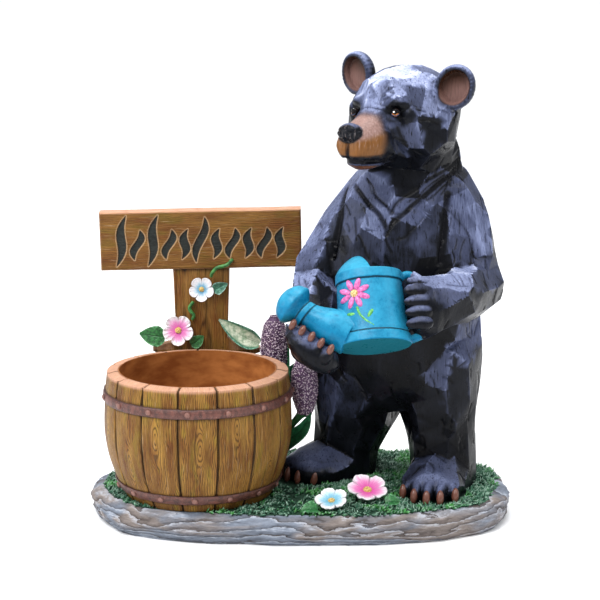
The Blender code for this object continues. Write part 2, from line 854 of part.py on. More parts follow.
def add_paws(form, units_matrix):
    left, right = paw_places()
    elbow_left, elbow_right = Vector((52, -2, 138)), Vector((-58, -4, 140))
    add_ellipsoid(form, units_matrix @ Matrix.Translation(elbow_left), (18.5, 20, 19))
    add_ellipsoid(form, units_matrix @ Matrix.Translation(elbow_right), (17, 19, 18))

    def arm(stations):
        rows = [(*(units_matrix @ Vector(s[:3])), s[3] * unit, s[4] * unit) for s in stations]
        add_limb(form, rows, Vector((0, 0, 1)), 18, 5)

    wrist = left + Vector((17, 12, 2))
    arm((
        (*elbow_left, 18, 18),
        (*elbow_left.lerp(wrist, 0.5), 18.5, 17.5),
        (*wrist, 16.5, 15),
        (*left, 17, 13),
    ))
    add_ellipsoid(form, units_matrix @ Matrix.Translation(left + Vector((1, 0, -1))), (13, 15, 20.5))
    wrist = right + Vector((2, 22, 3))
    arm((
        (*elbow_right, 17, 17),
        (*elbow_right.lerp(wrist, 0.5), 16, 16),
        (*wrist, 13, 14),
        (*right, 10, 15),
    ))
    palm = Matrix.Translation(right) @ Matrix.Rotation(math.radians(37), 4, "Y")
    add_ellipsoid(form, units_matrix @ palm, (20, 15, 10.5))
    for k in range(5):
        share = k / 4
        grip = can_frame @ Vector((can_foot_width / 2 + 0.004, -0.0125, can_height * (0.40 - 0.80 * share)))
        spot = Vector(bear_units(grip))
        finger = Matrix.Translation(spot + Vector((4, -1, 0)))
        add_ellipsoid(form, units_matrix @ finger, (7.5, 5.2, 4.6), 2)
        claw = Matrix.Translation(spot + Vector((-2.5, -3.4, -0.5)))
        add_ellipsoid(form, units_matrix @ claw, (4.6, 2.6, 2.6), 2)
    root, collar, _ = spout_path()
    for k in range(5):
        share = 1.05 - 0.80 * k / 4
        thick = spout_root_radius + (spout_tip_radius - spout_root_radius) * share
        under = root.lerp(collar, share) + Vector((-0.005, -0.72 * thick, -1.02 * thick))
        spot = Vector(bear_units(can_frame @ under))
        tilt = Matrix.Rotation(math.radians(28), 4, "Y")
        finger = Matrix.Translation(spot + Vector((-2, 2, -3))) @ tilt
        add_ellipsoid(form, units_matrix @ finger, (4.2, 6.0, 6.5), 2)
        claw = Matrix.Translation(spot + Vector((0.6, -2.2, 2.0))) @ tilt
        add_ellipsoid(form, units_matrix @ claw, (2.3, 2.4, 4.2), 2)


def bear_blocks():
    """The bear's masses before carving: overlapping closed forms, one for each muscle or bone."""
    form = bmesh.new()
    units_matrix = Matrix.Translation(bear_foot) @ Matrix.Scale(unit, 4)

    def limb(stations, side=Vector((1, 0, 0)), sides=22):
        rows = [(*(units_matrix @ Vector(s[:3])), s[3] * unit, s[4] * unit) for s in stations]
        add_limb(form, rows, side, sides, 5)

    limb(torso, sides=32)
    limb(left_leg)
    limb(right_leg)
    limb(left_upper_arm)
    limb(right_upper_arm)
    add_ellipsoid(form, units_matrix @ Matrix.Translation((0, -8, 122)), (42, 36, 36))
    add_ellipsoid(form, units_matrix @ Matrix.Translation((-1, -9, 172)), (37, 30, 30))
    add_foot(form, Vector((29, -8, 0)), -14, 54, units_matrix)
    add_foot(form, Vector((-37, 19, 0)), -57, 46, units_matrix)
    add_head(form, units_matrix)
    add_paws(form, units_matrix)
    return form


def keep_largest(form):
    """Leaves only the biggest connected skin, so no bubble stays between fused forms."""
    left, groups = set(form.verts), []
    while left:
        stack = [left.pop()]
        group = set(stack)
        while stack:
            vertex = stack.pop()
            for edge in vertex.link_edges:
                other = edge.other_vert(vertex)
                if other in left:
                    left.discard(other)
                    group.add(other)
                    stack.append(other)
        groups.append(group)
    groups.sort(key=len, reverse=True)
    spare = [v for group in groups[1:] for v in group]
    bmesh.ops.delete(form, geom=spare, context="VERTS")


def fuse(form, name, voxel, grow):
    """Fuses overlapping closed forms into one skin and eases the creases between them."""
    thing = add_mesh(name, mesh_from(form, name), collection=cutters)
    remesh = thing.modifiers.new("fuse", "REMESH")
    remesh.mode = "VOXEL"
    remesh.voxel_size = voxel
    ease = thing.modifiers.new("ease", "SMOOTH")
    ease.factor = 0.5
    ease.iterations = 3
    settle(thing)
    points, normals = vertex_arrays(thing.data)
    move_vertices(thing.data, points + normals * grow)
    form = bmesh.new()
    form.from_mesh(thing.data)
    keep_largest(form)
    form.to_mesh(thing.data)
    form.free()
    return thing


def detail_share(points):
    """How far each point takes the broad facets: 1 on the body, 0 on the face, ears, paws and toes."""
    left, right = paw_places()
    zones = [
        (on_head(0, 48, -14), 15, 30),
        (on_head(18, 30, 3), 6, 12),
        (on_head(-18, 30, 3), 6, 12),
        (on_head(42, -1, 21), 15, 20),
        (on_head(-42, -3, 26), 15, 20),
        (Vector((16, -62, 2)), 20, 30),
        (Vector((-70, -6, 2)), 20, 30),
        (left + Vector((-6, -6, 0)), 14, 24),
        (right, 18, 26),
    ]
    share = np.ones(len(points))
    for centre, inner, outer in zones:
        away = np.linalg.norm(points - np.array(centre), axis=1)
        share = np.minimum(share, np.clip((away - inner) / (outer - inner), 0, 1))
    return share


def vertex_arrays(mesh):
    count = len(mesh.vertices)
    points, normals = np.empty(count * 3), np.empty(count * 3)
    mesh.vertices.foreach_get("co", points)
    mesh.vertices.foreach_get("normal", normals)
    return points.reshape(-1, 3), normals.reshape(-1, 3)


def coarse_skin(thing, triangles):
    """A copy of the skin cut down to few flat facets, as a search tree."""
    copy = add_mesh("facets", thing.data.copy(), collection=cutters)
    thin = copy.modifiers.new("thin", "DECIMATE")
    thin.ratio = triangles / len(copy.data.polygons)
    mesh = evaluated_mesh(copy)
    tree = BVHTree.FromPolygons([v.co for v in mesh.vertices], [p.vertices[:] for p in mesh.polygons])
    bpy.data.objects.remove(copy, do_unlink=True)
    bpy.data.meshes.remove(mesh)
    return tree


def move_vertices(mesh, points):
    mesh.vertices.foreach_set("co", points.ravel())
    mesh.update()


def carve_facets(thing):
    """Cuts the skin back to flat knife facets, except where small forms need their curves."""
    mesh = thing.data
    tree = coarse_skin(thing, facet_triangles)
    points, normals = vertex_arrays(mesh)
    share = detail_share((points - np.array(bear_foot)) / unit)
    reach = 6 * unit
    moved = points.copy()
    for i, (p, n) in enumerate(zip(points, normals)):
        if share[i] <= 0:
            continue
        place, facing = Vector(p), Vector(n)
        hits = [tree.ray_cast(place, facing * way, reach) for way in (1, -1)]
        hits = [h for h in hits if h[0] is not None and h[1].dot(facing) > 0]
        goal = min(hits, key=lambda h: h[3])[0] if hits else tree.find_nearest(place)[0]
        moved[i] = place.lerp(goal, share[i])
    move_vertices(mesh, moved)


def snap_line(mesh, points, spacing):
    """A line through points, in bear units, laid on the skin and sampled closely."""
    skin = BVHTree.FromPolygons([v.co for v in mesh.vertices], [p.vertices[:] for p in mesh.polygons])
    rows = smooth_through([tuple(bear_point(*p)) for p in points], 10)
    found = [skin.find_nearest(Vector(r))[0] for r in rows]
    line = []
    for a, b in zip(found, found[1:]):
        steps = max(1, int((b - a).length / spacing))
        line += [a.lerp(b, k / steps) for k in range(steps)]
    return line + [found[-1]]


def groove(mesh, points, width, depth):
    """Presses a V-shaped line into the skin. width and depth are in bear units."""
    line = snap_line(mesh, points, 1.0 * unit)
    tree = KDTree(len(line))
    for i, p in enumerate(line):
        tree.insert(p, i)
    tree.balance()
    points, normals = vertex_arrays(mesh)
    low, high = np.min(line, axis=0) - width * unit, np.max(line, axis=0) + width * unit
    for i in np.nonzero(np.all((points > low) & (points < high), axis=1))[0]:
        away = tree.find(points[i])[2] / (width * unit)
        if away < 1:
            points[i] -= normals[i] * (depth * unit * (1 - away))
    move_vertices(mesh, points)


def press(mesh, centre, radius, depth, bump=0.0, bump_radius=1.0):
    """Presses a round hollow into the skin, with a rounded bump left in its middle."""
    points, normals = vertex_arrays(mesh)
    away = np.linalg.norm(points - np.array(bear_point(*centre)), axis=1) / unit
    fall = np.where(away < radius, 0.5 * (1 + np.cos(np.pi * np.minimum(away / radius, 1))), 0)
    rise = bump * np.sqrt(np.clip(1 - (away / bump_radius) ** 2, 0, 1))
    move_vertices(mesh, points + normals * (unit * (rise - depth * fall))[:, None])


def carve_features(mesh):
    for way in (-1, 1):
        press(mesh, on_head(way * 18.8, 31.5, 3), 8.5, 3.0, 2.6, 3.6)
        press(mesh, on_head(way * 4.6, 66, -8.5), 2.6, 1.8)
        lips = ((0, 61, -25), (7, 56, -27), (11.5, 46, -28), (14, 35, -29.5))
        groove(mesh, [on_head(way * s, f, u) for s, f, u in lips], 2.4, 1.8)
    groove(mesh, [on_head(0, 64, -14), on_head(0, 63, -19), on_head(0, 61, -25)], 2.0, 1.4)
    groove(mesh, [(36, -15, 221), (26, -34, 213), (3, -43, 200), (-11, -45, 189), (-14, -45, 184)], 3.2, 2.6)
    groove(mesh, [(-39, -12, 211), (-27, -36, 199), (-17, -44, 189), (-14, -45, 184)], 3.2, 2.6)


def flat_soles(mesh):
    """Cuts the feet off flat on the ground."""
    form = bmesh.new()
    form.from_mesh(mesh)
    bmesh.ops.bisect_plane(
        form, geom=form.verts[:] + form.edges[:] + form.faces[:],
        plane_co=bear_foot, plane_no=(0, 0, 1), clear_inner=True,
    )
    rim = [e for e in form.edges if e.is_boundary]
    bmesh.ops.holes_fill(form, edges=rim, sides=0)
    bmesh.ops.triangulate(form, faces=form.faces)
    form.to_mesh(mesh)
    form.free()


def make_bear():
    bear = fuse(bear_blocks(), "bear", bear_voxel_units * unit, carving_depth_units * unit)
    carve_facets(bear)
    carve_features(bear.data)
    flat_soles(bear.data)
    thin = bear.modifiers.new("thin", "DECIMATE")
    thin.ratio = bear_triangles / len(bear.data.polygons)
    settle(bear)
    for vertex in bear.data.vertices:
        vertex.co.z = max(vertex.co.z, bear_foot.z)
    boolean(bear, can_clearance(), "DIFFERENCE")
    bear.data.materials.append(fur_paint)
    cutters.objects.unlink(bear)
    parts.objects.link(bear)
    bear.hide_render = False
    bear.display_type = "TEXTURED"
    return bear


# Flowers, leaves, vines and spikes


def make_flower(name, centre, facing, radius, foot_point, foot_normal, material):
    """A five-petalled flower with a raised middle, which narrows below to a foot on what carries it."""
    facing = facing.normalized()
    side = facing.cross(Vector((0.31, 0.2, 0.93))).normalized()
    up = side.cross(facing)
    sides = 20
    lift, thick = 0.22 * radius, petal_thickness

    def ring(share, height, petals):
        found = []
        for k in range(sides):
            turn = math.tau * k / sides
            lobe = 0.60 + 0.40 * abs(math.sin(2.5 * turn)) ** 0.5 if petals else 1.0
            reach = radius * share * lobe
            outward = side * math.cos(turn) + up * math.sin(turn)
            found.append(centre + outward * reach + facing * height)
        return found

    foot = []
    for point in ring(0.26, 0.0, False):
        foot.append(point - foot_normal * (point - foot_point).dot(foot_normal))
    form = bmesh.new()
    skin_rings(form, [
        foot,
        ring(0.97, lift, True),
        ring(1.0, lift + thick, True),
        ring(0.55, lift * 0.6 + thick, True),
        ring(0.24, lift * 0.5 + thick, False),
        ring(0.15, lift * 0.5 + thick + 0.17 * radius, False),
    ])
    return add_mesh(name, mesh_from(form, name), material)


def add_leaf(form, path, normal, width, fold=0.35):
    """A leaf along a path from stalk to tip, folded along its midrib. normal is the side that shows."""
    rows = smooth_through([tuple(p) for p in path], 3)
    centres = [Vector(r) for r in rows]
    last = len(centres) - 1
    rings = []
    for i, centre in enumerate(centres):
        share = i / last
        along = (centres[min(i + 1, last)] - centres[max(i - 1, 0)]).normalized()
        across = along.cross(normal).normalized()
        out = across.cross(along).normalized()
        half = 0.5 * width * max(0.12, math.sin(math.pi * min(1.0, 0.06 + 0.94 * share) ** 0.85) ** 0.75)
        if i == last:
            half = 0.05 * width
        lift = out * (fold * half)
        edge = out * (0.75 * leaf_thickness)
        rings.append([
            centre - across * half + lift,
            centre,
            centre + across * half + lift,
            centre + across * half + lift - edge,
            centre - out * leaf_thickness,
            centre - across * half + lift - edge,
        ])
    skin_rings(form, rings)


def make_leaf(name, path, normal, width, fold=0.35):
    form = bmesh.new()
    add_leaf(form, path, normal, width, fold)
    return add_mesh(name, mesh_from(form, name), leaf_paint)


def make_vine(name, path):
    vine = bpy.data.objects.new(name, tube(name, path, vine_radius))
    parts.objects.link(vine)
    vine.data.materials.append(leaf_paint)
    return vine


def on_post(across, up, out):
    """A point in front of the post: across in post widths, up as a share of the way from rim to board."""
    return Vector((
        barrel_x + post_shift + across * post_width,
        post_front - joint_gap - out,
        rim + up * (board_bottom - rim),
    ))


def make_post_plants():
    back = Vector((0, 1, 0))
    face = on_post(0, 0, 0)
    close = 0.3 * petal_thickness
    blue = on_post(0.005, 0.744, close)
    pink = on_post(-0.393, 0.215, close)
    make_flower("post_blue_flower", blue, Vector((0.05, -1, 0.10)), post_blue_radius, face, back, blue_paint)
    make_flower("post_pink_flower", pink, Vector((-0.05, -1, 0.14)), post_pink_radius, face, back, pink_paint)
    flat = 1.08 * leaf_thickness
    raised = 1.45 * leaf_thickness
    make_leaf("post_blue_leaf", [
        on_post(0.210, 0.730, flat), on_post(0.298, 0.765, raised),
        on_post(0.448, 0.818, 1.25 * leaf_thickness),
    ], Vector((0.1, -1, 0.1)), 0.98 * post_blue_radius)
    make_leaf("post_pink_leaf_left", [
        on_post(-0.624, 0.127, flat), on_post(-0.810, 0.145, raised), on_post(-1.060, 0.176, flat),
    ], Vector((-0.1, -1, 0.2)), 1.34 * post_pink_radius, 0.12)
    make_leaf("post_pink_leaf_right", [
        on_post(-0.186, 0.030, flat), on_post(-0.083, 0.074, 1.25 * leaf_thickness),
        on_post(0.029, 0.145, 1.25 * leaf_thickness),
    ], Vector((0.1, -1, 0.2)), 0.82 * post_pink_radius, 0.12)
    off = 1.05 * vine_radius
    over = board_inset + off
    make_vine("post_vine_upper", [
        on_post(0.543, 1.136, over), on_post(0.436, 1.060, over), on_post(0.269, 1.023, over),
        on_post(0.186, 0.947, 0.5 * (off + over) + 0.4 * vine_radius), on_post(0.174, 0.908, 1.25 * off),
    ])
    make_vine("post_vine_lower", [
        on_post(-0.136, 0.586, off), on_post(-0.202, 0.497, 1.1 * off),
        on_post(-0.133, 0.409, 1.1 * off), on_post(-0.160, 0.353, off),
    ])
    make_leaf("folded_leaf", [
        on_post(0.988, 0.042, raised), on_post(0.690, 0.145, 2.0 * leaf_thickness),
        on_post(0.298, 0.356, flat),
    ], Vector((0.15, -1, 0.25)), 0.345 * post_width, 0.5)


def beside_barrel(turn, radius, height):
    """A place round the barrel, by degrees from +X, with room for a round thing of that radius."""
    reach = barrel_belly_radius + radius + spike_clearance
    turn = math.radians(turn)
    return Vector((barrel_x + reach * math.cos(turn), barrel_y + reach * math.sin(turn), height))


def make_tall_spike():
    root = beside_barrel(47.6, tall_spike_radius, ground)
    stations = []
    for height, share, girth in (
        (0.0, 1.15, spike_stem_radius),
        (0.27, 1.0, spike_stem_radius),
        (0.41, 1.15, spike_stem_radius),
        (0.485, 0.77, tall_spike_radius),
        (0.73, 1.0, tall_spike_radius),
        (0.91, 0.82, tall_spike_radius),
        (0.991, 0.32, tall_spike_radius),
    ):
        stations.append((root.x, root.y, ground + height * tall_spike_height, share * girth, share * girth))
    form = bmesh.new()
    add_limb(form, stations, Vector((1, 0, 0)), 8, 1)
    tall = add_mesh("tall_flower_spike", mesh_from(form, "tall_flower_spike"), spike_paint)
    leaves = (  # points from the root in spike heights, the side that shows, the width in spike heights
        (((0.004, -0.004, 0.356), (0.045, -0.036, 0.580), (0.085, -0.031, 0.849)), (0.1, -1, 0.0), 0.094),
        (((0.004, 0.000, 0.374), (0.108, -0.004, 0.589), (0.238, -0.018, 0.724)), (-0.2, -1, 0.5), 0.121),
    )
    for path, normal, width in leaves:
        form = bmesh.new()
        points = [root + Vector(p) * tall_spike_height for p in path]
        add_leaf(form, points, Vector(normal), width * tall_spike_height, 0.3)
        boolean(tall, add_mesh("leaf", mesh_from(form, "leaf"), collection=cutters), "UNION")
    return shade_round(tall)


def make_short_spike():
    """The spike that leans out from the tall one's foot round the barrel, with a leaf below it."""
    foot = beside_barrel(44.3, spike_stem_radius, ground)
    spike = beside_barrel(15.3, short_spike_radius, ground)
    rise = short_spike_bottom

    def between(across, back, up):
        return (
            foot.x + (spike.x - foot.x) * across,
            foot.y + (spike.y - foot.y) * back,
            ground + up * rise,
        )

    stem, head = spike_stem_radius, short_spike_radius
    top = short_spike_height / rise
    stations = [
        (*between(*place), girth, girth)
        for place, girth in (
            ((0.0, 0.0, 0.0), 0.92 * stem),
            ((0.0, 0.0, 0.06), 0.92 * stem),
            ((0.04, 0.15, 0.25), 0.85 * stem),
            ((0.27, 0.50, 0.53), 0.85 * stem),
            ((0.84, 0.88, 0.92), 1.08 * stem),
            ((1.0, 0.98, 1.04), 0.68 * head),
            ((1.0, 1.0, 1.28), head),
            ((0.99, 1.0, top - 0.24), 0.96 * head),
            ((0.99, 1.0, top - 0.06), 0.62 * head),
            ((0.99, 1.0, top), 0.28 * head),
        )
    ]
    form = bmesh.new()
    add_limb(form, stations, Vector((1, 0, 0)), 8, 1)
    short = add_mesh("short_flower_spike", mesh_from(form, "short_flower_spike"), spike_paint)
    form = bmesh.new()
    path = (
        (-0.01, 0.05, 0.084), (0.23, 0.383, 0.394), (0.87, 0.927, 0.714), (1.19, 1.167, 0.994),
    )
    add_leaf(form, [Vector(between(*p)) for p in path], Vector((0.35, -1, 0.5)), 0.26 * rise, 0.35)
    boolean(short, add_mesh("leaf", mesh_from(form, "leaf"), collection=cutters), "UNION")
    return shade_round(short)


def make_ground_plants():
    up = Vector((0, 0, 1))
    floor = Vector((0, 0, ground))
    flat, raised = ground + 1.08 * leaf_thickness, ground + 1.8 * leaf_thickness
    plants = (  # name, place in base sizes, facing, radius, paint, the leaf's points in radii, facing, width
        (
            "pink", (0.1546, -0.2486), (0.05, -0.62, 0.78), ground_pink_radius, pink_paint,
            ((0.85, -0.893), (1.17, -0.893), (1.60, -0.75)), (0, -0.5, 1), 0.78,
        ),
        (
            "blue", (0.0725, -0.3657), (-0.10, -0.55, 0.80), ground_blue_radius, blue_paint,
            ((-0.84, -0.625), (-1.28, -0.76), (-1.86, -0.80)), (0, -0.4, 1), 1.07,
        ),
    )
    for colour, (across, back), facing, radius, paint_used, leaf, leaf_facing, width in plants:
        centre = Vector((across * base_width, back * base_depth, ground + 0.43 * radius))
        make_flower(f"ground_{colour}_flower", centre, Vector(facing), radius, floor, up, paint_used)
        path = [
            (centre.x + x * radius, centre.y + y * radius, z)
            for (x, y), z in zip(leaf, (flat, raised, flat))
        ]
        make_leaf(f"ground_{colour}_leaf", path, Vector(leaf_facing), width * radius)


make_base()
make_barrel()
make_sign()
make_can()
make_bear()
make_post_plants()
make_tall_spike()
make_short_spike()
make_ground_plants()
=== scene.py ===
import math
import random

import bmesh
import bpy
import numpy as np
from mathutils import Matrix, Vector
from mathutils.bvhtree import BVHTree
from mathutils.kdtree import KDTree


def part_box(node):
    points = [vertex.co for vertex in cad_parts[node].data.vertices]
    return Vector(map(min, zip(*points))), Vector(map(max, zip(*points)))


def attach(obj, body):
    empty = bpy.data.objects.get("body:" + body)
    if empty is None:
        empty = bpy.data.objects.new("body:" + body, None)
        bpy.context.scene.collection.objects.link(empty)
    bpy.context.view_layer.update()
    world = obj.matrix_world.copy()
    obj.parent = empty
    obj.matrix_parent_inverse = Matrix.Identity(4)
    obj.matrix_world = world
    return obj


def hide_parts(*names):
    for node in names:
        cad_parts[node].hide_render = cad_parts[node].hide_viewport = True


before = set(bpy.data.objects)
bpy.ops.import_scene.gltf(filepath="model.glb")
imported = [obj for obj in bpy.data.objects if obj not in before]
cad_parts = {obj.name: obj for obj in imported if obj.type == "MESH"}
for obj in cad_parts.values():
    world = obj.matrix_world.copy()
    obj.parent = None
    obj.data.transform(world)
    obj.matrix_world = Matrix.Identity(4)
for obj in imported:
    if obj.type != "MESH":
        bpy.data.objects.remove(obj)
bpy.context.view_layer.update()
scene = bpy.context.scene
scene.view_settings.view_transform = "Standard"

jointGap = 0.0003   # the model's gap between pieces that touch
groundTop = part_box("rock_base")[1].z
groundFoot = groundTop + jointGap


# Camera, floor and light

studio = {
    "cameraPlace": (0.0, -1.25, 0.402),
    "cameraDown": 11.4,          # degrees below level
    "lens": 110.88,
    "sensor": 36,
    "floorTone": (0.90, 0.90, 0.90),
    "skyLow": 0.34,              # brightness at the horizon and straight up
    "skyHigh": 0.95,
    "sun": 1.5,
    "sunWidth": 35,              # degrees; higher for softer shadows
    "sunAim": (0.35, 0.55, -1.0),
    "lampAim": (0, 0, 0.14),
    "lamps": (                   # place, size, watts
        ((-0.8, -0.8, 1.5), 0.5, 12.0),
        ((0.15, 0.15, 1.5), 0.8, 11.0),
        ((1.2, -0.7, 0.9), 0.4, 5.0),
        ((-1.1, -0.2, 0.5), 0.4, 3.5),
    ),
}


def looseObject(name, data):
    thing = bpy.data.objects.new(name, data)
    scene.collection.objects.link(thing)
    return thing


def makeStudio():
    lens = bpy.data.cameras.new("camera")
    lens.sensor_width, lens.lens = studio["sensor"], studio["lens"]
    scene.camera = looseObject("camera", lens)
    scene.camera.location = studio["cameraPlace"]
    scene.camera.rotation_euler = (math.radians(90 - studio["cameraDown"]), 0, 0)
    for k, (place, size, watts) in enumerate(studio["lamps"]):
        lamp = bpy.data.lights.new(f"lamp{k}", "AREA")
        lamp.size, lamp.energy = size, watts
        holder = looseObject(f"lamp{k}", lamp)
        holder.location = place
        aim = Vector(studio["lampAim"]) - Vector(place)
        holder.rotation_euler = aim.to_track_quat("-Z", "Y").to_euler()
    sun = bpy.data.lights.new("sun", "SUN")
    sun.energy, sun.angle = studio["sun"], math.radians(studio["sunWidth"])
    aim = Vector(studio["sunAim"])
    looseObject("sun", sun).rotation_euler = aim.to_track_quat("-Z", "Y").to_euler()
    world = bpy.data.worlds.new("studio")
    world.use_nodes = True
    tree = world.node_tree
    sky = tree.nodes["Background"]
    plug(tree, sky.inputs["Color"], (0.95, 0.97, 1.0))
    height = addNode(tree, "ShaderNodeTexCoord").part(2)
    plug(tree, sky.inputs["Strength"], height.spread(0.05, 0.75, studio["skyLow"], studio["skyHigh"]))
    scene.world = world
    bpy.ops.mesh.primitive_plane_add(size=40)
    floor = bpy.context.active_object
    floor.name = "floor"
    paint = Paint("floorTone", 0.9)
    paint.setColour(studio["floorTone"])
    floor.data.materials.append(paint.material)


# Paint helpers


class Field:
    # a node's output; each sum, product and the like adds a node after it
    def __init__(self, tree, socket):
        self.tree, self.socket = tree, socket

    def maths(self, operation, *others):
        return addNode(self.tree, "ShaderNodeMath", dict(enumerate((self, *others))), operation=operation)

    def __add__(self, other):
        return self.maths("ADD", other)

    def __sub__(self, other):
        return self.maths("SUBTRACT", other)

    def __mul__(self, other):
        return self.maths("MULTIPLY", other)

    def __rsub__(self, other):
        return self.maths("MULTIPLY", -1.0) + other

    def __abs__(self):
        return self.maths("ABSOLUTE")

    __radd__, __rmul__ = __add__, __mul__

    def spread(self, low, high, outLow=0.0, outHigh=1.0):
        # what runs from low to high here runs from outLow to outHigh there
        return addNode(self.tree, "ShaderNodeMapRange", {
            "Value": self, "From Min": low, "From Max": high, "To Min": outLow, "To Max": outHigh,
        })

    def blend(self, first, second):
        # the first colour where this is 0, the second where it is 1
        return addNode(self.tree, "ShaderNodeMix", {0: self, 6: first, 7: second}, 2, data_type="RGBA")

    def noise(self, scale, detail=3.0, rough=0.55, twist=0.0):
        return addNode(self.tree, "ShaderNodeTexNoise", {
            "Vector": self, "Scale": scale, "Detail": detail, "Roughness": rough, "Distortion": twist,
        })

    def part(self, axis):
        return addNode(self.tree, "ShaderNodeSeparateXYZ", {0: self}, axis)


class Paint:
    def __init__(self, name, roughness, **fixed):
        self.material = bpy.data.materials.new(name)
        self.material.use_nodes = True
        self.tree = self.material.node_tree
        self.shader = self.tree.nodes["Principled BSDF"]
        self.put("Roughness", roughness)
        for key, value in fixed.items():
            self.put(key.replace("_", " "), value)

    def put(self, name, value):
        plug(self.tree, self.shader.inputs[name], value)

    def setColour(self, value):
        self.put("Base Color", value)

    def addBump(self, height, depth, strength=1.0):
        # depth in metres
        bump = {"Height": height, "Distance": depth, "Strength": strength}
        self.put("Normal", addNode(self.tree, "ShaderNodeBump", bump))

    def place(self, stretch=(1, 1, 1), turn=(0, 0, 0)):
        at = addNode(self.tree, "ShaderNodeTexCoord", output=3)
        return addNode(self.tree, "ShaderNodeMapping", {"Vector": at, "Scale": stretch, "Rotation": turn})

    def attribute(self, name, output=2):
        # output 0 is colour, 1 vector, 2 number
        return addNode(self.tree, "ShaderNodeAttribute", output=output, attribute_name=name)


def addNode(tree, kind, inputs=None, output=0, **settings):
    # inputs go by name or number, and hold values, fields or sockets
    made = tree.nodes.new(kind)
    for key, value in settings.items():
        setattr(made, key, value)
    for key, value in (inputs or {}).items():
        plug(tree, made.inputs[key], value)
    return Field(tree, made.outputs[output])


def vectorOf(x, y, z):
    return addNode(x.tree, "ShaderNodeCombineXYZ", {0: x, 1: y, 2: z})


def plug(tree, socket, value):
    value = getattr(value, "socket", value)
    if isinstance(value, bpy.types.NodeSocket):
        tree.links.new(value, socket)
    else:
        socket.default_value = (*value, 1.0) if socket.type == "RGBA" else value


# Mesh helpers


def addPiece(name, mesh, paint=None, node=None, sharpest=180.0):
    # a finished mesh becomes a piece that rides on the statue; node is the CAD node it replaces
    piece = looseObject(name, mesh)
    if paint:
        mesh.materials.append(paint.material)
    mesh.shade_smooth()
    if sharpest < 180:
        mesh.set_sharp_from_angle(angle=math.radians(sharpest))
    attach(piece, "root")
    if node:
        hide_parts(node)


def bakedMesh(thing, keep=False):
    # the mesh that an object's modifiers make; the object goes
    bpy.context.view_layer.update()
    graph = bpy.context.evaluated_depsgraph_get()
    mesh = bpy.data.meshes.new_from_object(thing.evaluated_get(graph))
    if not keep:
        bpy.data.objects.remove(thing, do_unlink=True)
    return mesh


def formMesh(form, name):
    bmesh.ops.recalc_face_normals(form, faces=form.faces)
    mesh = bpy.data.meshes.new(name)
    form.to_mesh(mesh)
    form.free()
    return mesh


def looseForm(form):
    return looseObject("form", formMesh(form, "form"))


def rowsOf(*columns):
    # lists of numbers side by side; a single number goes into every row
    return np.stack(np.broadcast_arrays(*columns), 1).astype(float)


def lengths(rows):
    return np.linalg.norm(rows, axis=1)


def held(values):
    return np.clip(values, 0, 1)


def turnsOf(count):
    return [math.tau * k / count for k in range(count)]


def meshArrays(mesh):
    count = len(mesh.vertices)
    points, normals = np.empty(count * 3), np.empty(count * 3)
    mesh.vertices.foreach_get("co", points)
    mesh.vertices.foreach_get("normal", normals)
    return points.reshape(-1, 3), normals.reshape(-1, 3)


def pointTree(points):
    tree = KDTree(len(points))
    for i, point in enumerate(points):
        tree.insert(point, i)
    tree.balance()
    return tree


def skinTree(mesh):
    return BVHTree.FromPolygons([v.co for v in mesh.vertices], [p.vertices[:] for p in mesh.polygons])


def setPoints(mesh, points):
    mesh.vertices.foreach_set("co", np.asarray(points, np.float32).ravel())
    mesh.update()


def setNumbers(mesh, name, values):
    layer = mesh.attributes.new(name, "FLOAT", "POINT")
    layer.data.foreach_set("value", np.asarray(values, np.float32))


def setVectors(mesh, name, values):
    layer = mesh.attributes.new(name, "FLOAT_VECTOR", "POINT")
    layer.data.foreach_set("vector", np.asarray(values, np.float32).ravel())


def setColours(mesh, name, values):
    layer = mesh.attributes.new(name, "FLOAT_COLOR", "POINT")
    rows = np.ones((len(values), 4), np.float32)
    rows[:, :3] = values
    layer.data.foreach_set("color", rows.ravel())


def thinned(mesh, name, triangles):
    # the mesh cut down to about that many triangles
    thing = looseObject(name, mesh)
    thin = thing.modifiers.new("thin", "DECIMATE")
    thin.ratio = min(1.0, triangles / sum(len(p.vertices) - 2 for p in mesh.polygons))
    return bakedMesh(thing)


def valueNoise(points, size, seed=0, octaves=1):
    # smooth noise from -1 to 1 at each point; size is the width of its lumps
    total, reach = np.zeros(len(points)), 0.0
    for octave in range(octaves):
        grid = np.asarray(points, float) * (2 ** octave / size) + 31.7 * seed
        cell = np.floor(grid).astype(np.int64)
        part = grid - cell
        part = part * part * (3 - 2 * part)
        value = np.zeros(len(grid))
        for corner in range(8):
            step = np.array([corner & 1, corner >> 1 & 1, corner >> 2 & 1])
            x, y, z = (cell + step).T
            # these large odd numbers scramble the cell's place into a random one
            mixed = (x * 73856093) ^ (y * 19349663) ^ (z * 83492791) ^ (seed * 2654435761)
            mixed = (mixed ^ (mixed >> 13)) * 1274126177 & 0x7FFFFFFF
            share = np.prod(np.where(step, part, 1 - part), axis=1)
            value += share * ((mixed >> 7 & 0xFFFF) / 32767.5 - 1)
        weight = 0.5 ** octave
        total += weight * value
        reach += weight
    return total / reach


def smoothThrough(stations, steps):
    # points on a smooth curve through the stations, which hold any number of values each
    rows = [np.array(s, float) for s in stations]
    rows = [2 * rows[0] - rows[1], *rows, 2 * rows[-1] - rows[-2]]
    found = []
    for i in range(1, len(rows) - 2):
        a, b, c, d = rows[i - 1 : i + 3]
        for k in range(steps):
            t = k / steps
            found.append(0.5 * (
                2 * b + (c - a) * t + (2 * a - 5 * b + 4 * c - d) * t**2 + (3 * b - a - 3 * c + d) * t**3
            ))
    found.append(rows[-2])
    return found


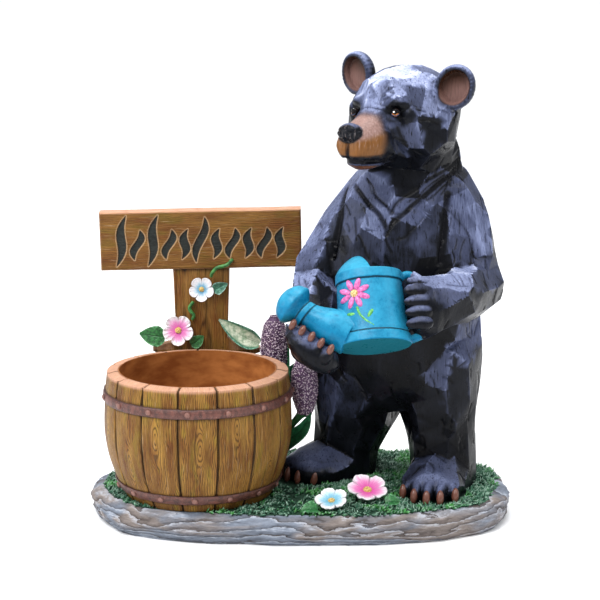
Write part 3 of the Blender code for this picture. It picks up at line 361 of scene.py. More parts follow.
def skinRings(form, rings):
    made = [[form.verts.new(p) for p in ring] for ring in rings]
    count = len(made[0])
    for lower, upper in zip(made, made[1:]):
        for i in range(count):
            j = (i + 1) % count
            form.faces.new((lower[i], lower[j], upper[j], upper[i]))
    form.faces.new(made[0][::-1])
    form.faces.new(made[-1])


def turnedTo(facing):
    # the turn that brings Z to a direction
    return Vector((0, 0, 1)).rotation_difference(facing).to_matrix().to_4x4()


def addBall(form, matrix, radii, fineness=3):
    scale = Matrix.Diagonal((*radii, 1.0))
    bmesh.ops.create_icosphere(form, subdivisions=fineness, radius=1.0, matrix=matrix @ scale)


def addLimb(form, stations, side, sides=18, steps=5):
    # a limb through stations of (x, y, z, half width, half depth)
    rows = smoothThrough(stations, steps)
    centres = [Vector(r[:3]) for r in rows]
    rings = []
    for i, row in enumerate(rows):
        along = (centres[min(i + 1, len(rows) - 1)] - centres[max(i - 1, 0)]).normalized()
        across = (side - along * side.dot(along)).normalized()
        deep = along.cross(across)
        rings.append([
            centres[i] + across * (row[3] * math.cos(t)) + deep * (row[4] * math.sin(t))
            for t in turnsOf(sides)
        ])
    skinRings(form, rings)


# The watering can, in its own tilted frame

can = {
    "place": (0.0470, -0.0583, 0.1547),
    "tilt": 29.0,
    "roll": 4.5,
    "height": 0.050,
    "topWidth": 0.0425,
    "footWidth": 0.0475,
    "depthShare": 0.78,
    "wall": 0.0028,
    "recess": 0.036,
    "band": 0.0009,
    "spoutRoot": 0.0132,
    "spoutTip": 0.0072,
    "rose": 0.0138,
    "handle": 0.0028,
    "handleReach": 0.013,
    "daisy": 0.0105,
    "petals": 8,
    "insidePoints": 48,     # round the hollow and the mouth
    "voxel": 0.00055,
    "triangles": 90000,
}
canFrame = (
    Matrix.Translation(can["place"])
    @ Matrix.Rotation(math.radians(-can["roll"]), 4, "Y")
    @ Matrix.Rotation(math.radians(-can["tilt"]), 4, "X")
)


def canHalfWidth(z):
    share = (z + can["height"] / 2) / can["height"]
    return (can["footWidth"] + (can["topWidth"] - can["footWidth"]) * share) / 2


def canRing(z, halfWidth, sides):
    halfDepth = halfWidth * can["depthShare"]
    return [Vector((halfWidth * math.cos(t), halfDepth * math.sin(t), z)) for t in turnsOf(sides)]


def canBody(sides=72):
    high, band = can["height"] / 2, can["height"] * 0.13
    inner = high - band
    form = bmesh.new()
    skinRings(form, [canRing(z, canHalfWidth(widthAt) + can["band"] * proud, sides) for z, widthAt, proud in (
        (-high, -high, 1), (-inner, -inner, 1), (band * 1.15 - high, -inner, 0),
        (high - band * 1.15, inner, 0), (inner, inner, 1), (high, high, 1),
    )])
    return form


def spoutLine():
    root = Vector((-can["footWidth"] * 0.33, -0.003, -can["height"] * 0.35))
    collar = Vector((-can["topWidth"] / 2 - 0.0235, -0.0045, can["height"] * 0.015))
    along = (collar - root).normalized()
    return root, collar, Matrix.Rotation(math.radians(12), 3, "Y") @ along


def canSpout(sides=36):
    root, collar, rise = spoutLine()
    thick, thin = can["spoutRoot"], can["spoutTip"]
    form = bmesh.new()
    addLimb(form, [
        (*root, thick, thick),
        (*root.lerp(collar, 0.4), thick * 0.97, thick * 0.95),
        (*root.lerp(collar, 0.75), thin * 1.28, thin * 1.25),
        (*(collar + rise * 0.004), thin, thin),
    ], Vector((0, 1, 0)), sides, 6)
    return form


def onSpout(levels, sides):
    # a form turned about the spout's upper line, from (radius, height above the collar)
    _, collar, rise = spoutLine()
    place = Matrix.Translation(collar) @ turnedTo(rise)
    form = bmesh.new()
    skinRings(form, [
        [place @ Vector((r * math.cos(t), r * math.sin(t), z)) for t in turnsOf(sides)] for r, z in levels
    ])
    return form


def canRose(sides=48):
    size = can["rose"]
    shares = ((0.0, 0.55), (0.14, 0.62), (0.46, 1.0), (0.66, 1.0), (1.0, 0.84), (1.27, 0.42), (1.34, 0.05))
    return onSpout(smoothThrough([(r * size, z * size) for z, r in shares], 4), sides)


def canCollar(sides=48):
    radius = can["spoutTip"] * 1.22
    return onSpout([(radius * 1.04, -0.0036), (radius, 0.0006)], sides)


def canHandle(sides=20):
    top, foot, tall, reach = can["topWidth"] / 2, can["footWidth"] / 2, can["height"], can["handleReach"]
    points = (
        (top - 0.002, 0.003, tall * 0.43),
        (top + 0.45 * reach, 0.004, tall * 0.47),
        (top + reach, 0.005, tall * 0.30),
        (top + reach * 1.15, 0.005, 0.0),
        (foot + reach * 0.75, 0.004, -tall * 0.33),
        (foot - 0.002, 0.003, -tall * 0.44),
    )
    form = bmesh.new()
    addLimb(form, [(*p, can["handle"], can["handle"]) for p in points], Vector((0, 1, 0)), sides, 6)
    return form


# The bear. Places are in units of a three-hundredth of its height, from the ground under its body.

bear = {
    "foot": (0.070, 0.008),
    "height": 0.300,
    "voxel": 0.85,           # units
    "grow": 0.3,             # how far the round skin is let out, units
    "headYaw": -40.0,
    "cutSize": 27.0,         # width of a knife cut, units
    "cutSpread": 0.85,       # how much a turn of the skin parts two cuts
    "cutReach": 0.60,        # lower for more and smaller cuts
    "placedReach": 0.28,     # how much wider than the others the listed cuts are
    "headFiner": 0.65,       # how much smaller the cuts on the head are
    "cutDeepest": 7.0,       # how far a facet may lie from the round skin, units
    "ridgeWidth": 0.9,       # units
    "cornerEase": 0.04,      # higher leaves the corners nearer the round skin
    "strokes": 420,          # pressed by a tool between the cuts
    "strokeLength": (6, 17),    # units
    "strokeWidth": 1.25,
    "strokeDepth": 0.55,
    "triangles": 188000,
}
unit = bear["height"] / 300
bearFoot = Vector((*bear["foot"], groundFoot))
inUnits = Matrix.Translation(bearFoot) @ Matrix.Scale(unit, 4)
headMiddle = Vector((1, -8, 259))
headTurn = Matrix.Rotation(math.radians(bear["headYaw"]), 4, "Z")


def bearUnits(point):
    return (Vector(point) - bearFoot) / unit


def unitsOf(points):
    return (points - np.array(bearFoot)) / unit


def onHead(side, front, up):
    # a place by the head's own directions, in units: to the bear's left, forward and up
    return headMiddle + (headTurn @ Vector((side, -front, up)))


torso = (   # x, y, z, half width, half depth; the limbs below hold the same
    (-1, 10, 55, 22, 20),
    (-2, 8, 64, 42, 30),
    (0, 6, 80, 54, 37),
    (0, 4, 100, 56, 41),
    (0, 1, 125, 54, 43),
    (1, 0, 150, 52, 42),
    (1, 0, 175, 48, 38),
    (3, 1, 192, 43, 35),
    (5, 1, 207, 39, 32),
    (7, 1, 222, 32.5, 29),
    (6, 0, 240, 31, 28),
)
leftLeg = (
    (27, 0, 96, 29, 34),
    (27.5, -1, 64, 27.5, 31),
    (28, -3, 46, 25.0, 27),
    (29.5, -5, 30, 23.2, 25),
    (30.5, -7, 14, 22.2, 25),
    (30.5, -8, -3, 22.5, 26),
)
rightLeg = (
    (-27, 6, 96, 29, 34),
    (-30, 13, 64, 30, 30),
    (-30.0, 16, 50, 31, 28),
    (-32.0, 18, 40, 28.5, 26),
    (-35.5, 20, 28, 24.5, 25),
    (-37.5, 21, 14, 22.5, 24),
    (-38, 21, -3, 23, 24),
)
leftUpperArm = (
    (22, 2, 214, 13, 17),
    (30, 2, 212, 14, 18),
    (39, 3, 196, 15.5, 20),
    (45, 4, 180, 16, 20),
    (48.5, 3, 160, 16.5, 20),
    (51, 0, 141, 18, 20),
)
rightUpperArm = (
    (-14, 4, 211, 12, 16),
    (-26, 5, 199, 14, 19),
    (-33, 5, 189, 15, 20),
    (-43.5, 5, 172, 16, 20),
    (-52, 3, 158, 16.5, 20),
    (-57, 0, 145, 16.5, 19),
)


def pawPlaces():
    root, collar, _ = spoutLine()
    left = bearUnits(canFrame @ Vector((can["footWidth"] / 2 + 0.0115, -0.001, -0.001)))
    underSpout = root.lerp(collar, 0.55) + Vector((-0.0085, 0.007, -can["spoutRoot"] - 0.0035))
    return left, bearUnits(canFrame @ underSpout)


def addFoot(form, ankle, yaw, toeReach, claws):
    place = Matrix.Translation(ankle) @ Matrix.Rotation(math.radians(yaw), 4, "Z")
    addBall(form, inUnits @ place @ Matrix.Translation((0, -16, 7)), (22, 32, 17))
    addBall(form, inUnits @ place @ Matrix.Translation((0, -34, 6)), (21, 15, 12))
    for k in range(5):
        side = (k - 2) * 9.0
        reach = toeReach - 0.032 * side * side
        toe = place @ Matrix.Translation((side, -reach + 8, 6.0)) @ Matrix.Rotation(-side * 0.012, 4, "Z")
        addBall(form, inUnits @ toe @ Matrix.Rotation(0.10, 4, "X"), (3.9, 12.5, 7.4))
        claw = place @ Matrix.Translation((side, -reach - 3.6, 4.6)) @ Matrix.Rotation(-0.25, 4, "X")
        claws.append((inUnits @ claw, (2.5, 2.6, 5.3)))


earTurns = {1: (38.8, 18.9, 0.42), -1: (-42.5, 24.0, -0.12)}   # side, up and turn of each ear


def earFrame(way):
    side, up, turn = earTurns[way]
    place = Matrix.Translation((side, 3, up))
    return place @ Matrix.Rotation(turn, 4, "Z") @ Matrix.Rotation(way * 0.35, 4, "Y")


def addLump(form, spot, radii, fineness=3):
    addBall(form, inUnits @ Matrix.Translation(spot), radii, fineness)


def addBearLimb(form, stations, side, sides, steps, place=inUnits):
    rows = [(*(place @ Vector(s[:3])), s[3] * unit, s[4] * unit) for s in stations]
    addLimb(form, rows, Vector(side), sides, steps)


def addHead(form):
    place = inUnits @ Matrix.Translation(headMiddle) @ headTurn

    def lump(side, front, up, radii, turn=0.0, nod=0.0):
        at = Matrix.Translation((side, -front, up))
        addBall(form, place @ at @ Matrix.Rotation(turn, 4, "Z") @ Matrix.Rotation(nod, 4, "X"), radii, 4)

    lump(0, -3, 1.0, (36.8, 36, 31))
    lump(0, 12, 7, (27, 24, 23))
    for way in (-1, 1):
        lump(way * 18, 3, -13, (20, 24, 22))
        lump(way * 22, 20, -1, (9.5, 9.5, 11))
        lump(way * 14.5, 25, 9.5, (10, 8, 6.5), turn=way * 0.35)
    snout = (
        (0, -14, -8, 24, 22),
        (0, -30, -13, 19.5, 19),
        (0, -46, -16.5, 15.5, 15.5),
        (0, -56, -17.5, 13, 13),
        (0, -62, -17, 9, 9.5),
    )
    addBearLimb(form, snout, headTurn @ Vector((1, 0, 0)), 28, 5, place)
    lump(0, 60.5, -8.2, (8.7, 6.3, 6.0))
    lump(0, 43, -29.5, (12.5, 14.5, 5.5), nod=0.06)
    for way in earTurns:
        ear = place @ earFrame(way)
        for around in turnsOf(32):
            spot = Matrix.Translation((11.3 * math.cos(around), 0, 13.2 * math.sin(around)))
            addBall(form, ear @ spot, (2.2, 4.6, 2.2), 2)
        addBall(form, ear @ Matrix.Translation((0, 3.6, 0)), (12.4, 3.2, 14.2), 3)


def addPaws(form, claws):
    left, right = pawPlaces()
    leftElbow, rightElbow = Vector((52, -2, 138)), Vector((-58, -4, 140))
    addLump(form, leftElbow, (18.5, 20, 17.5))
    addLump(form, rightElbow, (17, 19, 18))
    wrist = left + Vector((17, 12, 2))
    addBearLimb(form, (
        (*leftElbow, 18, 18),
        (*leftElbow.lerp(wrist, 0.5), 18.5, 17.5),
        (*wrist, 16.5, 15),
        (*left, 17, 13),
    ), (0, 0, 1), 24, 6)
    addLump(form, left + Vector((1, 0, -1)), (13, 15, 20.5))
    wrist = right + Vector((2, 22, 3))
    addBearLimb(form, (
        (*rightElbow, 17, 17),
        (*rightElbow.lerp(wrist, 0.5), 16, 16),
        (*wrist, 13, 14),
        (*right, 10, 15),
    ), (0, 0, 1), 24, 6)
    palm = Matrix.Translation(right) @ Matrix.Rotation(math.radians(37), 4, "Y")
    addBall(form, inUnits @ palm, (20, 15, 10.5))
    for k in range(5):
        gripUp = can["height"] * (0.31 - 0.60 * (k / 4))
        spot = bearUnits(canFrame @ Vector((can["footWidth"] / 2 + 0.004, -0.0125, gripUp)))
        addLump(form, spot + Vector((4, -1, 0)), (7.5, 5.2, 4.5))
        addLump(form, spot + Vector((-1.5, -2.6, -0.3)), (5.0, 3.2, 3.2))
    root, collar, _ = spoutLine()
    for k in range(5):
        share = 1.05 - 0.80 * k / 4
        thick = can["spoutRoot"] + (can["spoutTip"] - can["spoutRoot"]) * share
        under = root.lerp(collar, share) + Vector((-0.005, -0.72 * thick, -1.02 * thick))
        spot = bearUnits(canFrame @ under) + Vector((-1.3, 0.0, -4.6))
        tilt = Matrix.Rotation(math.radians(28), 4, "Y")
        addBall(form, inUnits @ Matrix.Translation(spot + Vector((-2, 2, -3))) @ tilt, (4.2, 6.0, 6.5))
        claw = Matrix.Translation(spot + Vector((0.6, -2.2, 2.0))) @ tilt
        claws.append((inUnits @ claw, (2.2, 2.5, 3.9)))


def bearBlocks(claws):
    form = bmesh.new()
    addBearLimb(form, torso, (1, 0, 0), 44, 6)
    for stations in (leftLeg, rightLeg, leftUpperArm, rightUpperArm):
        addBearLimb(form, stations, (1, 0, 0), 32, 6)
    addLump(form, (0, -8, 122), (42, 36, 36), 4)
    addLump(form, (-1, -9, 172), (37, 30, 30), 4)
    addFoot(form, Vector((29, -8, 0)), -14, 54, claws)
    addFoot(form, Vector((-37, 19, 0)), -57, 46, claws)
    addHead(form)
    addPaws(form, claws)
    return form


def fusedSkin(thing, voxel, ease):
    # overlapping closed forms in one object become one skin with eased creases
    remesh = thing.modifiers.new("fuse", "REMESH")
    remesh.mode, remesh.voxel_size = "VOXEL", voxel
    if ease:
        smooth = thing.modifiers.new("ease", "SMOOTH")
        smooth.factor, smooth.iterations = 0.5, ease
    return bakedMesh(thing)


def edgeEnds(mesh):
    ends = np.empty(len(mesh.edges) * 2, np.int64)
    mesh.edges.foreach_get("vertices", ends)
    return ends.reshape(-1, 2)


def joinedGroups(count, ends):
    # the same number for all points that edges join
    group = np.arange(count)
    while True:
        before = group.copy()
        low = np.minimum(group[ends[:, 0]], group[ends[:, 1]])
        np.minimum.at(group, ends[:, 0], low)
        np.minimum.at(group, ends[:, 1], low)
        group = group[group]
        if np.array_equal(before, group):
            return group


def biggestSkin(mesh):
    # leaves only the largest connected skin, so no bubble stays inside
    group = joinedGroups(len(mesh.vertices), edgeEnds(mesh))
    names, sizes = np.unique(group, return_counts=True)
    keep = names[np.argmax(sizes)]
    form = bmesh.new()
    form.from_mesh(mesh)
    spare = [v for v, g in zip(form.verts, group) if g != keep]
    bmesh.ops.delete(form, geom=spare, context="VERTS")
    form.to_mesh(mesh)
    form.free()


def carvedShare(places):
    # how far each place, in units, takes the broad cuts: 1 on the body, 0 on face, ears, paws and toes
    left, right = pawPlaces()
    zones = (
        (onHead(0, 48, -14), 15, 30),
        (onHead(18, 30, 3), 6, 12),
        (onHead(-18, 30, 3), 6, 12),
        (onHead(42, -1, 21), 15, 20),
        (onHead(-42, -3, 26), 15, 20),
        (Vector((16, -62, 2)), 20, 30),
        (Vector((-70, -6, 2)), 20, 30),
        (left + Vector((-6, -6, 0)), 14, 24),
        (right, 18, 26),
    )
    share = np.ones(len(places))
    for middle, inner, outer in zones:
        away = lengths(places - np.array(middle))
        share = np.minimum(share, held((away - inner) / (outer - inner)))
    return share


# Cuts that show from the front: where the middle of each is seen, in hundredths of the picture across
# and down from its top left corner, and how pale it is painted, painted light and shade included.
seenCuts = (
    (63.3, 13.1, 0.84), (67.0, 12.0, 0.92), (70.8, 13.4, 0.84), (66.8, 14.2, 0.68),
    (63.2, 15.9, 0.52), (68.7, 16.0, 0.40), (72.0, 17.0, 0.66), (74.2, 19.8, 0.58), (68.2, 18.9, 0.22),
    (68.5, 21.4, 0.44), (72.6, 22.6, 0.10), (69.6, 26.0, 0.08), (66.4, 22.8, 0.32),
    (65.8, 28.8, 0.10), (75.4, 21.5, 0.16), (74.6, 25.4, 0.10), (60.3, 15.6, 0.60), (58.2, 17.0, 0.14),
    (77.3, 33.0, 0.84), (79.2, 32.2, 0.38), (77.1, 37.6, 0.56), (80.3, 36.8, 0.60), (77.6, 41.8, 0.42),
    (68.7, 35.4, 0.52), (71.7, 38.8, 0.27), (67.0, 40.2, 0.24), (61.8, 37.5, 0.60), (61.0, 40.6, 0.28),
    (59.0, 37.0, 0.38), (55.6, 34.6, 0.60), (53.0, 39.8, 0.60), (56.3, 40.6, 0.24), (60.5, 33.5, 0.50),
    (71.7, 31.9, 0.40), (79.2, 43.0, 0.60), (76.4, 46.8, 0.70), (72.6, 47.2, 0.74), (75.2, 49.5, 0.42),
    (76.4, 51.8, 0.10), (71.2, 51.6, 0.22), (81.8, 45.7, 0.38), (67.0, 61.0, 0.04), (72.0, 61.8, 0.48),
    (76.8, 58.8, 0.54), (79.0, 56.0, 0.50), (71.6, 57.8, 0.05), (76.4, 64.6, 0.14), (72.0, 67.4, 0.15),
    (72.4, 71.0, 0.05),
    (72.0, 74.8, 0.04), (79.5, 61.5, 0.16), (54.7, 62.2, 0.50), (57.7, 66.9, 0.24), (54.6, 67.0, 0.34),
    (57.0, 72.0, 0.13), (62.3, 68.5, 0.03), (56.0, 76.0, 0.46), (73.2, 77.8, 0.40), (50.7, 46.1, 0.70),
    (53.6, 49.4, 0.14), (52.0, 42.3, 0.50), (54.3, 43.2, 0.24),
)


def seenFrom(across, down):
    # the viewer's place, and the way to a point of the picture
    lean = Matrix.Rotation(math.radians(90 - studio["cameraDown"]), 3, "X")
    half = studio["sensor"] / 2 / studio["lens"]
    way = Vector(((across / 50 - 1) * half, (1 - down / 50) * half, -1))
    return Vector(studio["cameraPlace"]), (lean @ way).normalized()


def groupSkin(mesh, places, normals, finer, seed):
    # gathers the skin's points into knife cuts: points near each other that face the same way
    squat = np.array((1.0, 1.0, 0.82))
    near = np.hstack([places * squat * (finer / bear["cutSize"])[:, None], normals * bear["cutSpread"]])
    near = near.astype(np.float32)
    tree = skinTree(mesh)
    middles, tones, seen = [], [], []
    for across, down, tone in seenCuts:
        hit, _, struck, _ = tree.ray_cast(*seenFrom(across, down))
        if hit is not None:
            seen.append((mesh.polygons[struck].vertices[0], tone))
            middles.append(near[seen[-1][0]])
            tones.append(tone)
    placed = len(middles)
    pick = np.random.RandomState(seed)
    some = near[pick.choice(len(near), 16000, replace=False)]
    away = np.full(len(some), 1e9, np.float32)
    for middle in middles:
        away = np.minimum(away, ((some - middle) ** 2).sum(1) - bear["placedReach"])
    while True:
        far = int(away.argmax())
        if away[far] < bear["cutReach"] ** 2:
            break
        middles.append(some[far])
        away = np.minimum(away, ((some - middles[-1]) ** 2).sum(1))
    middles = np.array(middles)
    extra = np.where(np.arange(len(middles)) < placed, bear["placedReach"], 0)

    def nearest(rows):
        return (((middles**2).sum(1) - extra)[None] - 2 * rows @ middles.T).argmin(1)

    for _ in range(5):
        owner = nearest(some)
        for k in range(placed, len(middles)):
            mine = some[owner == k]
            if len(mine):
                middles[k] = 0.5 * middles[k] + 0.5 * mine.mean(0)
    owner = np.concatenate([nearest(near[start : start + 20000]) for start in range(0, len(near), 20000)])
    tones = np.append(tones, [-1.0] * (len(middles) - placed))
    return owner, tones[owner], seen


def joinedPatches(owner, ends):
    # splits cuts that lie in several patches, and gives the small patches to a neighbour
    for least in (250, 250, 150, 0):
        inner = ends[owner[ends[:, 0]] == owner[ends[:, 1]]]
        group = joinedGroups(len(owner), inner)
        _, patch, sizes = np.unique(group, return_inverse=True, return_counts=True)
        border = patch[ends]
        border = border[border[:, 0] != border[:, 1]]
        border = np.vstack([border, border[:, ::-1]])
        border = border[(sizes[border[:, 0]] < least) & (sizes[border[:, 1]] >= sizes[border[:, 0]])]
        pairs, shared = np.unique(border, axis=0, return_counts=True)
        swap = np.arange(len(sizes))
        best = np.zeros(len(sizes), int)
        for (small, big), count in zip(pairs, shared):
            if count > best[small]:
                best[small], swap[small] = count, big
        owner = swap[patch]
    return np.unique(owner, return_inverse=True)[1]


def cutCorners(mesh, places, owner, middles, facing):
    # the points where three cuts meet, moved to where their planes cross
    size = np.empty(len(mesh.polygons), np.int64)
    mesh.polygons.foreach_get("loop_total", size)
    loops = np.empty(len(mesh.loops), np.int64)
    mesh.loops.foreach_get("vertex_index", loops)
    starts = np.concatenate([[0], np.cumsum(size)[:-1]])
    fours = starts[size == 4]
    threes = np.vstack([loops[starts[:, None] + (0, 1, 2)], loops[fours[:, None] + (0, 2, 3)]])
    mine = np.sort(owner[threes], axis=1)
    meets = (mine[:, 0] != mine[:, 1]) & (mine[:, 1] != mine[:, 2])
    found = {}
    for three, spot in zip(map(tuple, mine[meets]), places[threes[meets]].mean(1)):
        group = found.setdefault(three, [])
        for row in group:
            if np.linalg.norm(row[0] / row[1] - spot) < 6:
                row[0] += spot
                row[1] += 1
                break
        else:
            group.append([spot.copy(), 1])
    corners, cutsOf = [], []
    for three, group in found.items():
        for total, count in group:
            spot = total / count
            sides, hubs = facing[list(three)], middles[list(three)]
            ease = bear["cornerEase"]
            left = sides.T @ sides + ease * np.eye(3)
            right = sides.T @ np.einsum("ij,ij->i", sides, hubs) + ease * spot
            shift = np.linalg.solve(left, right) - spot
            reach = np.linalg.norm(shift)
            corners.append(spot + shift * min(1.0, 4.0 / max(reach, 1e-9)))
            cutsOf.append(three)
    return np.array(corners), cutsOf


def knifeCuts(mesh):
    # cuts the skin back to flat knife facets that meet in crisp ridges and valleys
    points, normals = meshArrays(mesh)
    places = unitsOf(points)
    headAway = lengths(places - np.array(headMiddle))
    finer = 1.0 + bear["headFiner"] * held((70 - headAway) / 30)
    ends = edgeEnds(mesh)
    owner, tones, seen = groupSkin(mesh, places, normals, finer, 7)
    owner = joinedPatches(owner, ends)
    count = owner.max() + 1
    sizes = np.maximum(np.bincount(owner, minlength=count), 1)[:, None]
    middles = rowsOf(*[np.bincount(owner, row, count) for row in places.T]) / sizes
    facing = rowsOf(*[np.bincount(owner, row, count) for row in normals.T])
    facing /= np.maximum(lengths(facing), 1e-6)[:, None]
    corners, cutsOf = cutCorners(mesh, places, owner, middles, facing)

    around = [[] for _ in range(count)]
    for i, three in enumerate(cutsOf):
        for cut in three:
            around[cut].append(i)
    spots, triangles, ridgeLines, facetOf = [Vector(c) for c in corners], [], [], []
    for cut, ring in enumerate(around):
        if len(ring) < 3:
            continue
        normal = Vector(facing[cut])
        across = normal.orthogonal().normalized()
        upward = normal.cross(across)
        hub = corners[ring].mean(0)
        turns = []
        for i in ring:
            step = Vector(corners[i] - hub)
            turns.append(math.atan2(step.dot(upward), step.dot(across)))
        ring = [i for _, i in sorted(zip(turns, ring))]
        spots.append(Vector(hub))
        for a, b in zip(ring, ring[1:] + ring[:1]):
            shared = [c for c in cutsOf[a] if c in cutsOf[b] and c != cut]
            triangles.append((len(spots) - 1, a, b))
            facetOf.append(cut)
            if shared:
                other = shared[0]
                turn = 1 - float(facing[cut] @ facing[other])
                hollow = float((middles[other] - middles[cut]) @ (facing[cut] - facing[other]))
                ridgeLines.append((a, b, turn * (1 if hollow < 0 else -1)))
            else:
                ridgeLines.append((a, b, 0.0))
    facets = BVHTree.FromPolygons(spots, triangles)

    share = carvedShare(places)
    moved, near, cutOf = places.copy(), np.zeros(len(places), bool), owner.copy()
    ridge, valley = np.zeros(len(places)), np.zeros(len(places))
    for i in np.nonzero(share > 0)[0]:
        place, out = Vector(places[i]), Vector(normals[i])
        best = None
        for way in (out, -out):
            spot, _, struck, away = facets.ray_cast(place, way, bear["cutDeepest"])
            if spot is not None and (best is None or away < best[2]):
                best = (spot, struck, away)
        if best is None:
            continue
        near[i] = True
        cutOf[i] = facetOf[best[1]]
        a, b, bend = ridgeLines[best[1]]
        start, along = spots[a], spots[b] - spots[a]
        part = max(0.0, min(1.0, (best[0] - start).dot(along) / max(along.length_squared, 1e-9)))
        onLine = start + along * part
        away = (best[0] - onLine).length
        spot = onLine if away < 0.5 and abs(bend) > 0.02 else best[0]
        moved[i] = spot
        edge = math.exp(-away / bear["ridgeWidth"]) * min(1.0, abs(bend) * 9)
        if bend > 0:
            ridge[i] = edge
        else:
            valley[i] = edge
    shift = moved - places
    shift[~near] = 0
    shift = calmed(shift, ends, near | (share == 0))
    moved = places + shift * share[:, None]
    setPoints(mesh, moved * unit + np.array(bearFoot))
    # how pale each cut is painted: as placed, or paler the further it faces up, as painted light from above
    chance = np.random.RandomState(3).rand(count)
    pale = 0.13 + 0.55 * blendShare(facing[:, 2], 0.05, 0.9) + 0.26 * (chance - 0.5) * (1 + facing[:, 2])
    # lower on the body the cuts are painted darker: painted shade
    pale *= 1 - 0.45 * blendShare(-middles[:, 2], -125, -80)
    known = np.bincount(owner, tones >= 0, count) > 0.5 * sizes[:, 0]
    mean = np.bincount(owner, np.maximum(tones, 0), count) / sizes[:, 0]
    pale = np.where(known, mean, np.clip(pale, 0.03, 0.9))
    for spot, tone in seen:
        pale[cutOf[spot]] = tone
    return {
        "points": points, "share": share, "pale": pale[cutOf],
        "ridge": ridge * share, "valley": valley * share,
    }


def calmed(shift, ends, sure):
    # points with no facet of their own, or one far off their neighbours', follow the neighbours
    for _ in range(12):
        total, count = np.zeros_like(shift), np.zeros(len(shift))
        for a, b in ((0, 1), (1, 0)):
            np.add.at(total, ends[:, a], shift[ends[:, b]])
            np.add.at(count, ends[:, a], 1)
        mean = total / np.maximum(count, 1)[:, None]
        odd = ~sure | (lengths(shift - mean) > 0.9)
        shift = np.where(odd[:, None], mean, shift)
    return shift


def lineOnSkin(tree, stations, spacing):
    rows = smoothThrough([tuple(inUnits @ Vector(p)) for p in stations], 10)
    found = [tree.find_nearest(Vector(r))[0] for r in rows]
    for _ in range(6):
        inner = [(a + 2 * b + c) / 4 for a, b, c in zip(found, found[1:], found[2:])]
        found = [found[0], *inner, found[-1]]
    line = []
    for a, b in zip(found, found[1:]):
        steps = max(1, int((b - a).length / spacing))
        line += [a.lerp(b, k / steps) for k in range(steps)]
    return line + [found[-1]]


def pressLines(mesh, lines):
    # lines of (points, width, depth) in units become V grooves; returns how deep each point lies in one
    points, normals = meshArrays(mesh)
    sunk = np.zeros(len(points))
    for line, width, depth in lines:
        tree = pointTree(line)
        low, high = np.min(line, axis=0) - width * unit, np.max(line, axis=0) + width * unit
        for i in np.nonzero(np.all((points > low) & (points < high), axis=1))[0]:
            away = tree.find(points[i])[2] / (width * unit)
            if away < 1:
                sunk[i] = max(sunk[i], depth * (1 - away))
    setPoints(mesh, points - normals * (sunk * unit)[:, None])
    return sunk


def pressRound(mesh, middle, radius, depth):
    points, normals = meshArrays(mesh)
    away = lengths(points - np.array(inUnits @ Vector(middle))) / unit
    fall = np.where(away < radius, 0.5 * (1 + np.cos(np.pi * np.minimum(away / radius, 1))), 0)
    setPoints(mesh, points - normals * (unit * (depth * fall))[:, None])


face = {
    "eye": (17.0, 32.7, 3.4),     # side, front, up in units
    "eyeSize": 2.8,     # radius
    "socket": (5.6, 1.8),     # radius and depth of the hollow round an eye
    "nostril": (2.6, 2.0),
    "eyeDrop": 1.8,     # how much lower the bear's right eye lies
    "amber": (0.62, 0.21, 0.035),
    "bridge": (0.290, 0.175, 0.150),
    "lips": (0.185, 0.078, 0.024),
    "chin": (0.16, 0.060, 0.030),
    "earDeep": (0.030, 0.011, 0.005),
    "earPale": (0.200, 0.110, 0.095),
}
ruffLines = (
    (((38, -14, 222), (26, -32, 213), (3, -42, 199), (-8, -45, 190), (-13, -45, 182)), 2.3, 1.7),
    (((-37, -14, 212), (-27, -34, 201), (-18, -43, 191), (-13, -45, 182)), 2.3, 1.7),
    (((40, -8, 228), (26, -28, 220), (8, -38, 211), (-5, -42, 203), (-9, -44, 197)), 1.7, 1.0),
    (((-30, -22, 214), (-22, -34, 207), (-14, -42, 201), (-9, -44, 197)), 1.7, 1.0),
    (((37, -16, 218), (24, -34, 208), (8, -42, 198)), 1.2, 0.7),
    (((30, -26, 219), (14, -38, 209), (2, -42, 203)), 1.2, 0.7),
    (((-34, -22, 208), (-26, -35, 200), (-20, -42, 193)), 1.2, 0.7),
)


# creases between arms and chest, by where they are seen, as with the cuts above
seenCreases = (
    ((57.7, 31.7), (56.8, 35.8), (56.0, 40.0), (55.5, 42.7)),
    ((74.7, 32.5), (74.3, 35.8), (73.8, 40.0), (73.3, 43.7)),
)


def eyePlace(way, forward=0.0):
    side, front, up = face["eye"]
    return way * side, front + forward, up - (face["eyeDrop"] if way < 0 else 0.0)


def carveFace(mesh):
    tree = skinTree(mesh)
    lines = []
    for way in (-1, 1):
        pressRound(mesh, onHead(*eyePlace(way, 0.7)), *face["socket"])
        pressRound(mesh, onHead(way * 4.6, 66, -8.5), *face["nostril"])
        lips = ((0, 61, -25), (7, 56, -27), (11.5, 46, -28), (14, 35, -29.5), (14.5, 31, -28.5))
        lines.append((lineOnSkin(tree, [onHead(way * s, f, u) for s, f, u in lips], unit), 2.2, 2.0))
        wing = ((way * 3.5, 66.5, -8.5), (way * 6.5, 64, -8.0), (way * 8.5, 60, -6.5))
        lines.append((lineOnSkin(tree, [onHead(*p) for p in wing], unit), 1.3, 0.9))
    philtrum = ((0, 65, -13), (0, 63, -19), (0, 61, -25))
    lines.append((lineOnSkin(tree, [onHead(*p) for p in philtrum], unit), 1.9, 1.5))
    for stations, width, depth in ruffLines:
        lines.append((lineOnSkin(tree, stations, unit), width, depth))
    for crease in seenCreases:
        stations = [bearUnits(tree.ray_cast(*seenFrom(*spot))[0]) for spot in crease]
        lines.append((lineOnSkin(tree, stations, unit), 3.6, 1.7))
    return pressLines(mesh, lines)


